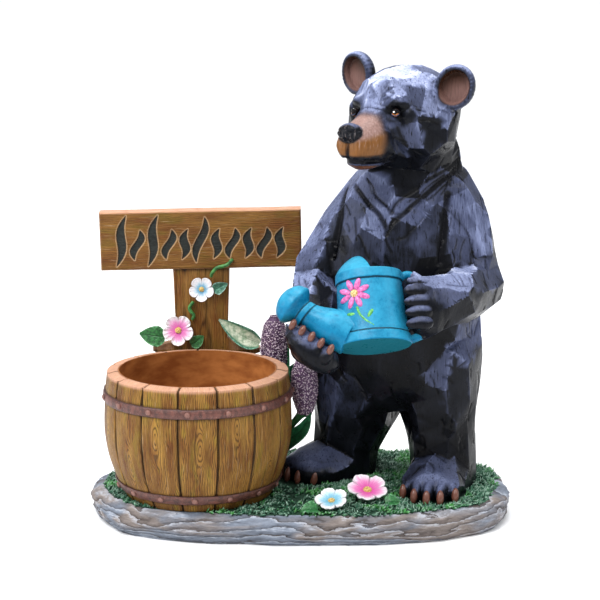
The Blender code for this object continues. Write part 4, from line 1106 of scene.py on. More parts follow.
def furStrokes(mesh, count, seed):
    # short gouge marks that run down the body, and towards the middle on the chest
    pick = np.random.RandomState(seed)
    points, normals = meshArrays(mesh)
    share = carvedShare(unitsOf(points))
    tree = skinTree(mesh)
    marks = []
    for i in pick.choice(len(points), count, replace=False):
        if share[i] < 0.7:
            continue
        place, facing = Vector(points[i]), Vector(normals[i])
        x, y, z = bearUnits(place)
        flow = Vector((0.15, 0.1, -1))
        if y < 0 and 110 < z < 225:
            flow = Vector((-0.55 * math.copysign(1, x), 0, -1))
        if z > 228:
            flow = Vector(headTurn @ Vector((0.25 * math.copysign(1, x), 1.0, -0.35)))
        flow = flow + Vector(pick.normal(0, 0.22, 3))
        flow = (flow - facing * flow.dot(facing)).normalized()
        length = pick.uniform(*bear["strokeLength"]) * unit
        steps = int(length / (0.7 * unit))
        bend = facing.cross(flow) * pick.normal(0, 0.12)
        for k in range(steps):
            t = k / steps - 0.5
            spot = tree.find_nearest(place + (flow * t + bend * (4 * t * t)) * length)[0]
            marks.append(spot)
    return [(marks, bear["strokeWidth"], bear["strokeDepth"])]


def blendShare(value, low, high):
    t = held((value - low) / (high - low))
    return t * t * (3 - 2 * t)


def overlap(*bands):
    # how far each place lies within all the bands, each (value, low, high)
    share = 1.0
    for band in bands:
        share = share * blendShare(*band)
    return share


def paintBear(mesh, dense, marks):
    # works out the paint: each cut has its own tone, partly painted light; ridges paler from dry-brushing and
    # painted highlight, valleys and pressed grooves darker as painted shade
    points, normals = meshArrays(mesh)
    tree = pointTree(dense["points"])
    near = np.array([tree.find(p)[1] for p in points])
    ridge, valley, sunk = dense["ridge"][near], dense["valley"][near], marks[near]
    cut = dense["share"][near]
    places = unitsOf(points)
    head = (places - np.array(headMiddle)) @ np.array(headTurn.to_3x3())
    side, front, up = head[:, 0], -head[:, 1], head[:, 2]
    lump = valueNoise(points, 0.010, 5, 2)
    # where there are no cuts, paler the more it faces up: painted light
    uncut = 0.10 + 0.46 * blendShare(normals[:, 2], 0.05, 0.85)
    dryAndLit = dense["pale"][near] * cut + uncut * (1 - cut)
    # ridges paler: dry-brushing and painted highlight; valleys and pressed grooves darker: painted shade
    dryAndLit += 0.20 * ridge - 0.30 * valley - 0.28 * held(sunk / 0.8) + 0.08 * lump
    tint = np.zeros((len(points), 3))
    amount = np.zeros(len(points))

    def brush(mask, colour):
        mask = held(mask)
        tint[:] = tint * (1 - mask[:, None]) + np.asarray(colour) * mask[:, None]
        np.maximum(amount, mask, out=amount)

    wander = 1.6 * lump
    flank = np.abs(side) + wander
    top = overlap((front + wander, 35, 47), (-flank, -11, -5), (up, -14, -8), (-up, -9, -2))
    cheek = overlap((front + wander + 0.30 * (up + 12), 39, 48), (up, -22, -15), (-up, -6, 0))
    bridge = np.maximum(top, 0.92 * cheek)
    brush(bridge, face["bridge"])
    dryAndLit += 0.30 * overlap((front, 24, 32), (-flank, -10, -5), (up, -4, 3), (-up, -15, -9))
    lips = overlap((front + wander, 36, 47), (-up + 0.24 * (58 - front), 10.5, 14.5), (up, -28, -26))
    brush(lips, face["lips"])
    brush(0.75 * overlap((front + wander, 40, 50), (-up, 29, 31), (up, -37, -33)), face["chin"])
    lip = overlap((front, 30, 36), (-up, 22.6, 24.4), (up, -30.5, -29))
    parting = overlap((-np.abs(side), -2.6, -1.0), (front, 54, 58), (-up, 12, 24), (up, -30.5, -29))
    lip = np.maximum(lip, parting)
    amount *= 1 - lip
    dryAndLit = dryAndLit * (1 - lip) + 0.12 * lip
    # a thin pale line along the lower lip: painted highlight
    edge = overlap((front, 34, 40), (-up, 29.0, 29.6), (up, -30.9, -30.3))
    dryAndLit += 0.30 * edge
    amount *= 1 - edge
    nose = lengths((head - np.array((0, -61.5, -8.4))) / np.array((9.6, 8.4, 6.9)))
    nose = blendShare(-nose, -1.12, -1.0)
    # the top of the nose paler where it faces up: painted highlight
    dryAndLit = dryAndLit * (1 - nose) + nose * (0.13 + 0.42 * blendShare(normals[:, 2], 0.62, 0.90))
    setNumbers(mesh, "calm", nose)
    amount *= 1 - nose
    for way in earTurns:
        ear = earFrame(way).inverted()
        spot = rowsOf(*head.T, 1) @ np.array(ear).T
        reach = np.hypot(spot[:, 0] / 10.6, spot[:, 2] / 12.5)
        inside = blendShare(-reach, -1.04, -0.88) * (spot[:, 1] < 2.6) * (np.abs(spot[:, 1]) < 9)
        drift = blendShare(0.75 * way * spot[:, 0] - 0.65 * spot[:, 2] + 3 * lump, -9, 8)[:, None]
        brush(0.97 * inside, np.array(face["earDeep"]) * (1 - drift) + np.array(face["earPale"]) * drift)
        rim = blendShare(-np.abs(reach - 1.12), -0.22, -0.10) * (spot[:, 1] < 0) * (np.abs(spot[:, 1]) < 9)
        dryAndLit += 0.22 * rim
    for way in (-1, 1):
        eyeSide, eyeFront, eyeUp = eyePlace(way)
        eyeAway = lengths(head - np.array((eyeSide, -eyeFront, eyeUp)))
        dryAndLit -= 0.10 * blendShare(-eyeAway, -8, -4)
        amount *= 1 - blendShare(-eyeAway, -7, -4)
        under = head - np.array((way * 17.5, -36.0, -4.5))
        dryAndLit += 0.22 * blendShare(-lengths(under / np.array((1.6, 1.6, 0.9))), -4.0, -1.6)
        # a thin pale streak over each eye: painted highlight on the brow
        brow = head - np.array((way * 15.5, -33.0, 13.4))
        brow[:, 2] += 0.35 * way * brow[:, 0]
        dryAndLit += 0.27 * blendShare(-lengths(brow / np.array((2.9, 2.4, 0.55))), -3.6, -1.8)
    setNumbers(mesh, "dryAndLit", np.clip(dryAndLit * (1 - 0.7 * amount), 0, 1.1))
    setNumbers(mesh, "hair", bridge)
    setNumbers(mesh, "tintAmount", amount)
    setColours(mesh, "tint", tint)
    # darker in valleys and pressed grooves: painted shade
    setNumbers(mesh, "dark", np.clip(0.6 * valley + 0.9 * held((sunk - 0.3) / 1.3), 0, 1))


def furPaint():
    paint = Paint("furPaint", 0.32, Specular_IOR_Level=0.10)
    # two lots of brush marks: down the body, and slanting across it
    brushed = paint.place((1, 1, 0.10)).noise(1000, 4, 0.6, 0.3)
    brushedBack = paint.place((1, 0.6, 0.12), (0.25, 0.55, 0.3)).noise(700, 4, 0.6)
    blotch = paint.place().noise(90, 3)
    streak = brushed * 0.6 + brushedBack * 0.4
    # how pale the fur is painted: dry-brushing, with painted light and reflection on the cuts that face up
    dryAndLit = paint.attribute("dryAndLit")
    strong = dryAndLit.spread(0.15, 0.70, 0.15, 0.62) * paint.attribute("calm").spread(0, 1, 1, 0.15)
    scratch = streak.spread(0.42, 0.37) * strong * 0.7
    value = (streak - 0.5) * strong + dryAndLit + (blotch - 0.5) * 0.16 - scratch
    ramp = paint.tree.nodes.new("ShaderNodeValToRGB")
    stops = (
        (0.02, (0.0022, 0.0024, 0.0034)), (0.22, (0.0085, 0.0095, 0.0140)),
        (0.54, (0.066, 0.078, 0.142)), (0.80, (0.210, 0.245, 0.400)), (1.0, (0.550, 0.590, 0.740)),
    )
    for k, (at, colour) in enumerate(stops):
        stop = ramp.color_ramp.elements[k] if k < 2 else ramp.color_ramp.elements.new(at)
        stop.position, stop.color = at, (*colour, 1.0)
    plug(paint.tree, ramp.inputs[0], value)
    streaky = streak.spread(0.36, 0.52, 0.70, 1.0)
    tinted = (paint.attribute("tintAmount") * streaky).blend(
        ramp.outputs[0], paint.attribute("tint", 0),
    )
    paleHair = paint.attribute("hair") * streak.spread(0.54, 0.66, 0, 0.30)
    tinted = paleHair.blend(tinted, (0.56, 0.47, 0.46))
    # valleys and grooves go near black: painted shade
    paint.setColour((paint.attribute("dark") * 0.85).blend(tinted, (0.003, 0.003, 0.005)))
    paint.put("Roughness", blotch.spread(0.3, 0.7, 0.24, 0.38))
    paint.addBump(blotch * 0.2 + streak * paint.attribute("calm").spread(0, 1, 1, 0.1), 0.0004, 0.6)
    return paint


def clawPaint():
    paint = Paint("clawPaint", 0.35)
    mottle = paint.place().noise(500, 3)
    paint.setColour(mottle.blend((0.060, 0.016, 0.010), (0.200, 0.075, 0.048)))
    paint.addBump(mottle, 0.0003, 0.5)
    return paint


def eyePaint():
    paint = Paint("eyePaint", 0.16, Specular_IOR_Level=0.12)
    ring, low = paint.attribute("fromPupil"), paint.attribute("low")
    grain = paint.place().noise(1800, 2)
    amber = grain.blend(face["amber"], (0.26, 0.070, 0.012))
    iris = (low * 0.22 + ring).spread(0.44, 0.54) * low.spread(-0.05, 0.25)
    colour = iris.blend((0.003, 0.003, 0.004), amber)
    colour = ring.spread(1.02, 1.12).blend(colour, (0.010, 0.006, 0.006))
    paint.setColour(paint.attribute("glint").blend(colour, (0.95, 0.95, 0.95)))
    return paint


def makeEyes(fur):
    form, lids = bmesh.new(), bmesh.new()
    rings, low, glint, lidTone = [], [], [], []
    size = face["eyeSize"] * unit
    for way in (-1, 1):
        middle = inUnits @ onHead(*eyePlace(way))
        gaze = (headTurn @ Vector((way * 0.40, -1.0, -0.02))).normalized()
        across = gaze.cross(Vector((0, 0, 1))).normalized()
        upward = across.cross(gaze)
        place = Matrix.Translation(middle) @ turnedTo(gaze)
        before = len(form.verts)
        bmesh.ops.create_uvsphere(form, u_segments=56, v_segments=48, radius=size, matrix=place)
        form.verts.ensure_lookup_table()
        shine = (gaze + 0.34 * upward - 0.34 * Vector((1, 0, 0))).normalized()
        for vertex in form.verts[before:]:
            out = (vertex.co - middle) / size
            angle = math.degrees(math.acos(max(-1.0, min(1.0, out.dot(gaze)))))
            rings.append(angle / 52)
            low.append(-out.dot(upward))
            glint.append(1.0 if out.dot(shine) > 0.978 else 0.0)
        # a thick lid round the eye: an almond loop that stands off the ball
        loop = []
        for turn in turnsOf(40):
            wide, tall = 0.98 * math.cos(turn), 0.66 * math.sin(turn) + 0.04
            spot = across * wide + upward * tall
            spot = spot + gaze * math.sqrt(max(0.05, 1.08 - spot.length_squared))
            thick = (0.15 + 0.05 * math.sin(turn)) * size
            loop.append((middle + spot * size, thick))
            lidTone += [0.06 if math.sin(turn) > -0.35 else 0.46] * 10
        rows = []
        for k, (spot, thick) in enumerate(loop):
            along = (loop[(k + 1) % 40][0] - loop[k - 1][0]).normalized()
            aside = along.cross(gaze).normalized()
            rows.append([
                lids.verts.new(spot + (aside * math.cos(t) + gaze * math.sin(t)) * thick)
                for t in turnsOf(10)
            ])
        for a, b in zip(rows, rows[1:] + rows[:1]):
            for i in range(10):
                lids.faces.new((a[i], a[(i + 1) % 10], b[(i + 1) % 10], b[i]))
    mesh = formMesh(form, "eyes")
    setNumbers(mesh, "fromPupil", rings)
    setNumbers(mesh, "low", low)
    setNumbers(mesh, "glint", glint)
    addPiece("eyes", mesh, eyePaint())
    rims = formMesh(lids, "eyelids")
    setNumbers(rims, "dryAndLit", lidTone)
    addPiece("eyelids", rims, fur)


def makeClaws(claws):
    form = bmesh.new()
    for matrix, radii in claws:
        addBall(form, matrix, radii)
    addPiece("claws", formMesh(form, "claws"), clawPaint())


def clearOf(mesh, other, gap):
    # points that lie inside another closed form move out to just above its skin
    tree = skinTree(other)
    points, _ = meshArrays(mesh)
    others, _ = meshArrays(other)
    low, high = others.min(0), others.max(0)
    inside = np.nonzero(np.all((points > low - gap) & (points < high + gap), axis=1))[0]
    for i in inside:
        spot, facing, _, _ = tree.find_nearest(Vector(points[i]))
        if spot is None:
            continue
        if (Vector(points[i]) - spot).dot(facing) < gap:
            points[i] = spot + facing * gap
    setPoints(mesh, points)


def canClearance():
    whole = bmesh.new()
    for form in (canBody(48), canSpout(24), canRose(32), canCollar(32), canHandle(12)):
        whole.from_mesh(formMesh(form, "part"))
    mesh = fusedSkin(looseForm(whole), 0.0012, 0)
    mesh.transform(canFrame)
    return mesh


def makeBear():
    claws = []
    mesh = fusedSkin(looseForm(bearBlocks(claws)), bear["voxel"] * unit, 3)
    points, normals = meshArrays(mesh)
    setPoints(mesh, points + normals * (bear["grow"] * unit))
    biggestSkin(mesh)
    dense = knifeCuts(mesh)
    sunk = carveFace(mesh)
    marks = pressLines(mesh, furStrokes(mesh, bear["strokes"], 11))
    points, _ = meshArrays(mesh)
    dense["points"] = points.copy()
    points[:, 2] = np.maximum(points[:, 2], bearFoot.z)
    setPoints(mesh, points)
    clearOf(mesh, canClearance(), jointGap)
    mesh = thinned(mesh, "bear", bear["triangles"])
    paintBear(mesh, dense, sunk + marks)
    fur = furPaint()
    addPiece("bearFigure", mesh, fur, "bear", 20)
    makeEyes(fur)
    makeClaws(claws)


# The can's solid form and paint


def joinForm(body, form, operation):
    # joins a closed form to a loose object or cuts it away, by an exact boolean
    other = looseForm(form)
    change = body.modifiers.new(operation.lower(), "BOOLEAN")
    change.operation, change.object, change.solver = operation, other, "EXACT"
    mesh = bakedMesh(body, keep=True)
    body.modifiers.clear()
    body.data = mesh
    bpy.data.objects.remove(other, do_unlink=True)


def canHood(sides=28, levels=10):
    high = can["height"] / 2
    halfWidth = canHalfWidth(high) + can["band"]
    lip = Vector((-0.0066, 0, high + 0.0138))
    form = bmesh.new()
    layers = []
    for offset in (0.0, can["wall"] * 0.75):
        rows = []
        for level in range(levels):
            share = level / (levels - 1)
            swing = math.sin(share * math.pi / 2)
            row = []
            for k in range(sides + 1):
                turn = math.pi * (0.42 + 1.10 * k / sides)
                x = (halfWidth - offset) * math.cos(turn)
                y = (halfWidth - offset) * can["depthShare"] * math.sin(turn)
                inward = 0.92 * (0.6 * swing**1.3 + 0.4 * (1 - math.cos(share * math.pi / 2)))
                height = high - 0.001 + (lip.z - high) * swing - offset * 0.6 * share
                row.append(form.verts.new((x + (lip.x - x) * inward, y + (lip.y - y) * inward, height)))
            rows.append(row)
        layers.append(rows)
    borders = []
    for rows in layers:
        for lower, upper in zip(rows, rows[1:]):
            for i in range(sides):
                form.faces.new((lower[i], lower[i + 1], upper[i + 1], upper[i]))
        borders.append(rows[0] + [r[-1] for r in rows[1:]] + rows[-1][-2::-1] + [r[0] for r in rows[-2:0:-1]])
    count = len(borders[0])
    for i in range(count):
        j = (i + 1) % count
        form.faces.new((borders[0][j], borders[0][i], borders[1][i], borders[1][j]))
    return form


def canPaint():
    paint = Paint("canPaint", 0.3, Specular_IOR_Level=0.14)
    height = paint.attribute("canPlace", 1).part(2)
    world = paint.place()
    mottle = world.noise(90, 4, 0.6, 0.6)
    fine = world.noise(420, 3, 0.6, 0.3)
    cloud = fine * 0.35 + mottle * 0.65
    blue = cloud.spread(0.36, 0.64).blend((0.003, 0.120, 0.240), (0.006, 0.185, 0.350))
    # paler where the can faces up: painted light; darker underneath: painted shade
    upward = paint.attribute("faceUp")
    light = upward.spread(0.1, 0.9) * cloud.spread(0.35, 0.62, 0.35, 1.0)
    blue = light.blend(blue, (0.040, 0.330, 0.500))
    under = upward.spread(-0.45, -0.85) * 0.85
    blue = under.blend(blue, (0.010, 0.105, 0.125))
    # dark lines under the top band, over the foot band and at the collar
    band = can["height"] * (0.5 - 0.13 * 1.1)
    wander = world.noise(120, 2) * 0.0006 + height
    high = abs(wander - (band + 0.0003))
    low = abs(wander - (-band + 0.0003))
    line = high.maths("MINIMUM", low).spread(0.00075, 0.00040) * paint.attribute("onBody")
    line = line * fine.spread(0.30, 0.44, 0.55, 1.0)
    blue = (line * 0.9).blend(blue, (0.004, 0.020, 0.032))
    blue = (paint.attribute("crease") * 0.9).blend(blue, (0.004, 0.030, 0.045))
    paint.setColour(blue)
    paint.put("Roughness", cloud.spread(0.35, 0.65, 0.24, 0.40))
    paint.addBump(cloud - line, 0.0006, 0.7)
    return paint


def spotPaint(name, dark, light, scale=700, rough=0.4, depth=0.0004):
    paint = Paint(name, rough)
    fine = paint.place().noise(scale, 4, 0.6)
    paint.setColour(fine.spread(0.38, 0.62).blend(dark, light))
    paint.addBump(fine, depth, 0.8)
    return paint


def makeDaisy():
    front = Vector((-0.0105, 0, can["height"] * 0.155))
    halfWidth = canHalfWidth(front.z)
    size = can["daisy"]

    def onFront(x, z, out=0.0):
        reach = math.sqrt(max(0.0, 1 - (x / halfWidth) ** 2))
        return Vector((x, -halfWidth * can["depthShare"] * reach - out, z))

    def addDrop(form, x, z, long, wide, thick, turn):
        lie = math.atan2(x, halfWidth * 1.2)
        place = canFrame @ Matrix.Translation(onFront(x, z)) @ Matrix.Rotation(lie, 4, "Z")
        addBall(form, place @ Matrix.Rotation(turn, 4, "Y"), (wide, thick, long))

    form = bmesh.new()
    for k in range(can["petals"]):
        turn = math.tau * (k + 0.5) / can["petals"]
        middle = 0.60 * size
        x, z = front.x + middle * math.sin(turn), front.z + middle * math.cos(turn)
        addDrop(form, x, z, 0.42 * size, 0.19 * size, 0.0014, turn)
    pink = spotPaint("daisyPink", (0.42, 0.055, 0.24), (0.72, 0.19, 0.46), 500)
    addPiece("daisyPetals", formMesh(form, "daisyPetals"), pink)
    form = bmesh.new()
    addDrop(form, front.x, front.z, 0.25 * size, 0.25 * size, 0.0021, 0)
    yellow = spotPaint("daisyMiddle", (0.42, 0.24, 0.05), (0.92, 0.74, 0.36), 1100, 0.5, 0.0008)
    addPiece("daisyMiddle", formMesh(form, "daisyMiddle"), yellow)
    form = bmesh.new()
    shares = ((0.1, -0.9), (0.25, -1.4), (0.6, -1.85), (1.05, -2.2))
    stem = [
        (*(canFrame @ onFront(front.x + dx * size, front.z + dz * size, 0.0002)), 0.0009, 0.0008)
        for dx, dz in shares
    ]
    addLimb(form, stem, Vector((1, 0, 0)), 10, 5)
    for across, down, long, wide, turn in ((-0.28, -1.30, 0.32, 0.12, -1.45), (0.88, -1.42, 0.36, 0.14, 0.6)):
        addDrop(form, front.x + across * size, front.z + down * size, long * size, wide * size, 0.0011, turn)
    green = spotPaint("daisyGreen", (0.02, 0.20, 0.03), (0.14, 0.50, 0.10), 600)
    addPiece("daisyStem", formMesh(form, "daisyStem"), green)


def makeCan():
    high = can["height"] / 2
    body = looseForm(canBody())
    for form in (canSpout(), canCollar(), canRose(), canHood()):
        joinForm(body, form, "UNION")
    wall = can["wall"]
    levels = ((high - can["recess"], canHalfWidth(high - can["recess"])), (high - 0.0015, canHalfWidth(high)))
    form = bmesh.new()
    skinRings(form, [canRing(z, w - wall, can["insidePoints"]) for z, w in levels])
    joinForm(body, form, "DIFFERENCE")
    innerTop = canHalfWidth(high) - wall
    shift = Vector((innerTop * 0.50, innerTop * 0.18, 0))
    mouth = (high - 0.006, high + 0.006)
    rings = [[p + shift for p in canRing(z, innerTop * 0.62, can["insidePoints"])] for z in mouth]
    form = bmesh.new()
    skinRings(form, rings)
    joinForm(body, form, "DIFFERENCE")
    joinForm(body, canHandle(), "UNION")
    mesh = thinned(fusedSkin(body, can["voxel"], 2), "watering_can", can["triangles"])
    points, _ = meshArrays(mesh)
    setVectors(mesh, "canPlace", points)
    oval = np.hypot(points[:, 0], points[:, 1] / can["depthShare"])
    away = np.abs(oval - canHalfWidth(points[:, 2]))
    setNumbers(mesh, "onBody", blendShare(-away, -0.0024, -0.0014) * (np.abs(points[:, 2]) < high - 0.001))
    _, collar, rise = spoutLine()
    along = (points - np.array(collar)) @ np.array(rise)
    aside = lengths(points - np.array(collar) - along[:, None] * np.array(rise))
    ring = np.minimum(np.abs(along + 0.0038), np.abs(along - 0.0009))
    setNumbers(mesh, "crease", blendShare(-ring, -0.00075, -0.0003) * (aside < can["spoutTip"] * 1.45))
    mesh.transform(canFrame)
    _, normals = meshArrays(mesh)
    setNumbers(mesh, "faceUp", normals[:, 2])
    addPiece("wateringCan", mesh, canPaint(), "watering_can", 40)
    makeDaisy()


# The barrel

barrel = {
    "middle": (-0.070, -0.020),
    "height": 0.0865,
    "footRadius": 0.0505,
    "bellyRadius": 0.0643,
    "rimRadius": 0.0617,
    "wall": 0.0083,
    "floor": 0.009,
    "rimSlope": 0.0014,
    "staves": 15,
    "groove": 0.0013,
    "hoopWidth": 0.0066,
    "hoopProud": 0.0013,
    "hoops": (0.0667, 0.0055),
    "rivet": 0.0022,
    "columns": 600,
    "knots": {                   # by stave: how far across and up, millimetres
        0: (0.6, 46), 1: (-0.2, 58), 2: (1.2, 20), 3: (-0.6, 40),
        12: (0.4, 60), 13: (0.8, 30), 14: (-1.0, 52),
    },
}
barrelFrame = Matrix.Translation((*barrel["middle"], groundFoot))
firstSeam = -99.0   # degrees; the first groove between staves


def barrelRadius(height):
    belly, bellyAt = barrel["bellyRadius"], 0.56 * barrel["height"]
    height = np.asarray(height, float)
    low = belly - (belly - barrel["footRadius"]) * ((bellyAt - height) / bellyAt) ** 2
    part = (height - bellyAt) / (barrel["height"] - bellyAt)
    high = belly - (belly - barrel["rimRadius"]) * part**2
    return np.where(height < bellyAt, low, high)


def turnedGrid(radii, heights, columns, shape):
    # a closed skin turned about Z: rows of radius and height, bent by shape(turns, row number)
    turns = np.arange(columns) * math.tau / columns
    rings = []
    for row, (radius, height) in enumerate(zip(radii, heights)):
        out, up = shape(turns, row)
        reach = radius + out
        rings.append(rowsOf(reach * np.cos(turns), reach * np.sin(turns), height + up))
    return turns, rings


def gridMesh(name, rings, closed=False):
    # a skin from equal rings; closed joins the last ring to the first instead of capping both
    count = len(rings[0])
    points = np.vstack(rings)
    faces = []
    steps = len(rings) if closed else len(rings) - 1
    for r in range(steps):
        low, high = r * count, ((r + 1) % len(rings)) * count
        for i in range(count):
            j = (i + 1) % count
            faces.append((low + i, low + j, high + j, high + i))
    if not closed:
        hubs = [rings[0].mean(0), rings[-1].mean(0)]
        points = np.vstack([points, hubs])
        first, last, top = len(points) - 2, len(points) - 1, (len(rings) - 1) * count
        for i in range(count):
            j = (i + 1) % count
            faces.append((first, j, i))
            faces.append((last, top + i, top + j))
    mesh = bpy.data.meshes.new(name)
    mesh.from_pydata(points.tolist(), [], faces)
    form = bmesh.new()
    form.from_mesh(mesh)
    bmesh.ops.recalc_face_normals(form, faces=form.faces)
    form.to_mesh(mesh)
    form.free()
    return mesh


def gridNumbers(mesh, **fields):
    # a number for each point of a grid's rings, and one for each of its two end points
    for name, (rows, first, last) in fields.items():
        setNumbers(mesh, name, np.append(np.concatenate(rows), (first, last)))


def staveOf(turns):
    # the stave that each direction lies in, and how far across it, from -0.5 to 0.5
    share = (np.degrees(turns) - firstSeam) / (360 / barrel["staves"])
    number = np.floor(share)
    return (number % barrel["staves"]).astype(int), share - number - 0.5


def woodPaint(name, dark, mid, light, lineWide, olive=None, rough=0.55, strength=1.0, sway=9.0):
    # grain lines run along the wood and bend round knots; the mesh carries where each point lies in its plank
    paint = Paint(name, rough, Specular_IOR_Level=0.18)
    grain = paint.attribute("grain", 1)     # millimetres across and along, plank number
    across, along, plank = (grain.part(k) for k in range(3))

    def strand(acrossScale, alongScale, shift, detail=3.0):
        return vectorOf(across * acrossScale, along * alongScale, plank * 7.31 + shift).noise(1.0, detail)

    field = strand(0.10, 0.030, 1.7) * sway + across
    knot = paint.attribute("knotAway")
    field = addNode(paint.tree, "ShaderNodeMix", {0: knot.spread(3.0, 6.0), 2: knot, 3: field})
    ripple = strand(0.8, 0.10, 9.2) * 1.3 + field
    wave = (ripple * (math.tau / lineWide)).maths("SINE")
    line = wave.spread(0.0, 0.95, 0.0, strength)
    fibre = strand(3.2, 0.16, 4.4, 4.0)
    cloud = strand(0.12, 0.030, 15.0, 3.0)
    wood = cloud.spread(0.34, 0.66).blend(mid, light)
    if olive:
        patch = strand(0.16, 0.05, 23.0, 2.0)
        wood = patch.spread(0.52, 0.68, 0.0, 0.75).blend(wood, olive)
    lines = line * fibre.spread(0.30, 0.62, 0.35, 0.85)
    wood = lines.blend(wood, dark)
    wood = fibre.spread(0.58, 0.74, 0.0, 0.40).blend(wood, light)
    scratch = strand(2.6, 0.05, 31.0, 2.0).spread(0.66, 0.72, 0.0, 0.55)
    wood = scratch.blend(wood, (0.62, 0.44, 0.26))
    # darker where the mesh marks it: grooves and cracks, darker bands on the barrel, and the painted shadow
    # of the board on the post
    wood = paint.attribute("wash").blend(wood, (0.022, 0.011, 0.006))
    paleMix = paint.attribute("pale") * fibre.spread(0.30, 0.60, 0.55, 1.0)
    wood = paleMix.blend(wood, (0.66, 0.36, 0.24))
    paint.setColour(wood)
    relief = fibre * 0.5 + line * -0.6
    bare = 1.0 - paint.attribute("inside")
    paint.addBump(relief * bare, 0.0006, 0.9)
    return paint, wood


def makeBarrel():
    high, staves = barrel["height"], barrel["staves"]
    rimOuter = high - barrel["rimSlope"]
    inner = barrel["rimRadius"] - barrel["wall"]
    footInner = barrel["footRadius"] - barrel["wall"] + 0.002
    radii, heights, kinds = [0.012, 0.030], [0.0, 0.0], ["foot", "foot"]

    def addRow(radius, height, kind):
        radii.append(radius)
        heights.append(height)
        kinds.append(kind)

    for z in np.linspace(0, rimOuter, 84):
        addRow(float(barrelRadius(z)), z, "side")
    for share in (0.12, 0.35, 0.6, 0.85):
        up = rimOuter + barrel["rimSlope"] * min(1.0, share * 1.6)
        addRow(barrel["rimRadius"] - barrel["wall"] * share, up, "rim")
    for share in np.linspace(0, 1, 14):
        z = high - (high - barrel["floor"]) * share
        bulge = math.sin(math.pi * min(1.0, share * 1.05)) * 0.0022
        addRow(inner + (footInner - inner) * share**1.6 + bulge, z - (0.0004 if share == 0 else 0), "inside")
    for share in (0.6, 0.2):
        addRow(footInner * share, barrel["floor"], "inside")
    pick = np.random.RandomState(12)
    tilt = pick.uniform(-1, 1, staves)
    drop = pick.uniform(0, 1, staves)

    def shape(turns, row):
        number, across = staveOf(turns)
        kind, z = kinds[row], heights[row]
        out, up = np.zeros(len(turns)), np.zeros(len(turns))
        arc = math.tau * max(radii[row], 0.001) / staves
        seam = (0.5 - np.abs(across)) * arc
        if kind in ("side", "rim"):
            wobble = 0.00035 * np.sin(z * 170 + number * 1.9)
            cut = held(1 - (seam - wobble) / (0.9 * barrel["groove"]))
            out -= barrel["groove"] * cut * (1 if kind == "side" else 0.4)
            if kind == "rim":
                up -= barrel["groove"] * 0.8 * cut
        if kind == "side":
            out += 0.00022 * np.cos(across * math.pi) - 0.00016 * (1 + tilt[number])
            out += 0.00016 * valueNoise(rowsOf(number * 9.0, across * 9, z * 400), 3.2, 2, 2)
            if z > rimOuter - 0.0012:
                out -= 0.0011 * held(valueNoise(rowsOf(turns * 9, 0, 0), 0.55, 6, 2) - 0.25)
        if kind == "rim":
            up -= 0.0005 * drop[number] + 0.00025 * np.abs(across)
        if kind == "inside" and row < len(radii) - 3:
            out += 0.0002 * np.sin(3 * turns + z * 60)
        if kind == "side":
            out = np.minimum(out, 0.00005)
        return out, up if kind == "foot" else np.minimum(up, 0.0)

    turns, rings = turnedGrid(radii, heights, barrel["columns"], shape)
    mesh = gridMesh("barrel", rings)
    number, across = staveOf(turns)
    grain, knotAway, wash, pale, dusk = [], [], [], [], []
    for row, kind in enumerate(kinds):
        z = heights[row] * 1000
        arc = math.tau * max(radii[row], 0.001) / staves * 1000
        mm, run, plank = across * arc, z, number
        if kind == "rim":
            run = 1000 * radii[row] + 20
        if kind == "inside":
            mm, run, plank = z, turns * 54, 40
        grain.append(rowsOf(mm, run, plank + 0 * turns))
        away = turns * 0 + 40.0
        groove = turns * 0
        if kind in ("side", "rim"):
            groove = held(1 - (0.5 - np.abs(across)) * arc) ** 0.6
        footAndHoopDarkening, edge = 0, 0.95 if kind == "rim" else 0.0
        if kind == "side":
            for k, (aside, up) in barrel["knots"].items():
                gap = np.hypot(mm - aside * 2.2, 0.27 * (z - up))
                away = np.where(number == k, np.minimum(away, gap), away)
            edges = [1000 * (hoop + wide) for hoop in barrel["hoops"] for wide in (0, barrel["hoopWidth"])]
            # darker near the foot and along the hoop edges
            footAndHoopDarkening = 0.30 * held(1 - z / 9) + max(0.55 * held(1 - abs(z - up) / 1.6) for up in edges)
            edge = held(1 - (rimOuter * 1000 - z) / 2.2)
        knotAway.append(away)
        wash.append(held(groove + footAndHoopDarkening))
        pale.append(edge * (1 - groove))
        dusk.append(turns * 0 + (kind == "inside"))
    setVectors(mesh, "grain", np.vstack([*grain, np.zeros((2, 3))]))
    gridNumbers(mesh, knotAway=(knotAway, 40, 40), wash=(wash, 0, 0), pale=(pale, 0, 0), inside=(dusk, 0, 1))
    mesh.transform(barrelFrame)
    paint, wood = woodPaint(
        "barrelPaint", (0.024, 0.008, 0.003), (0.145, 0.050, 0.010), (0.330, 0.175, 0.036), 1.2,
        (0.250, 0.160, 0.020), 0.45, 1.0, 7.0,
    )
    smooth = paint.place((1, 1, 2.2)).noise(60, 3)
    lining = smooth.spread(0.35, 0.65).blend((0.235, 0.068, 0.016), (0.430, 0.155, 0.042))
    depth = paint.place().part(2)
    # the lining darker the deeper it lies: painted shade
    lining = depth.spread(groundFoot + 0.055, groundFoot + 0.01).blend(lining, (0.12, 0.035, 0.010))
    paint.setColour(paint.attribute("inside").blend(wood, lining))
    addPiece("barrel", mesh, paint, "barrel_planter", 50)
    makeHoops()


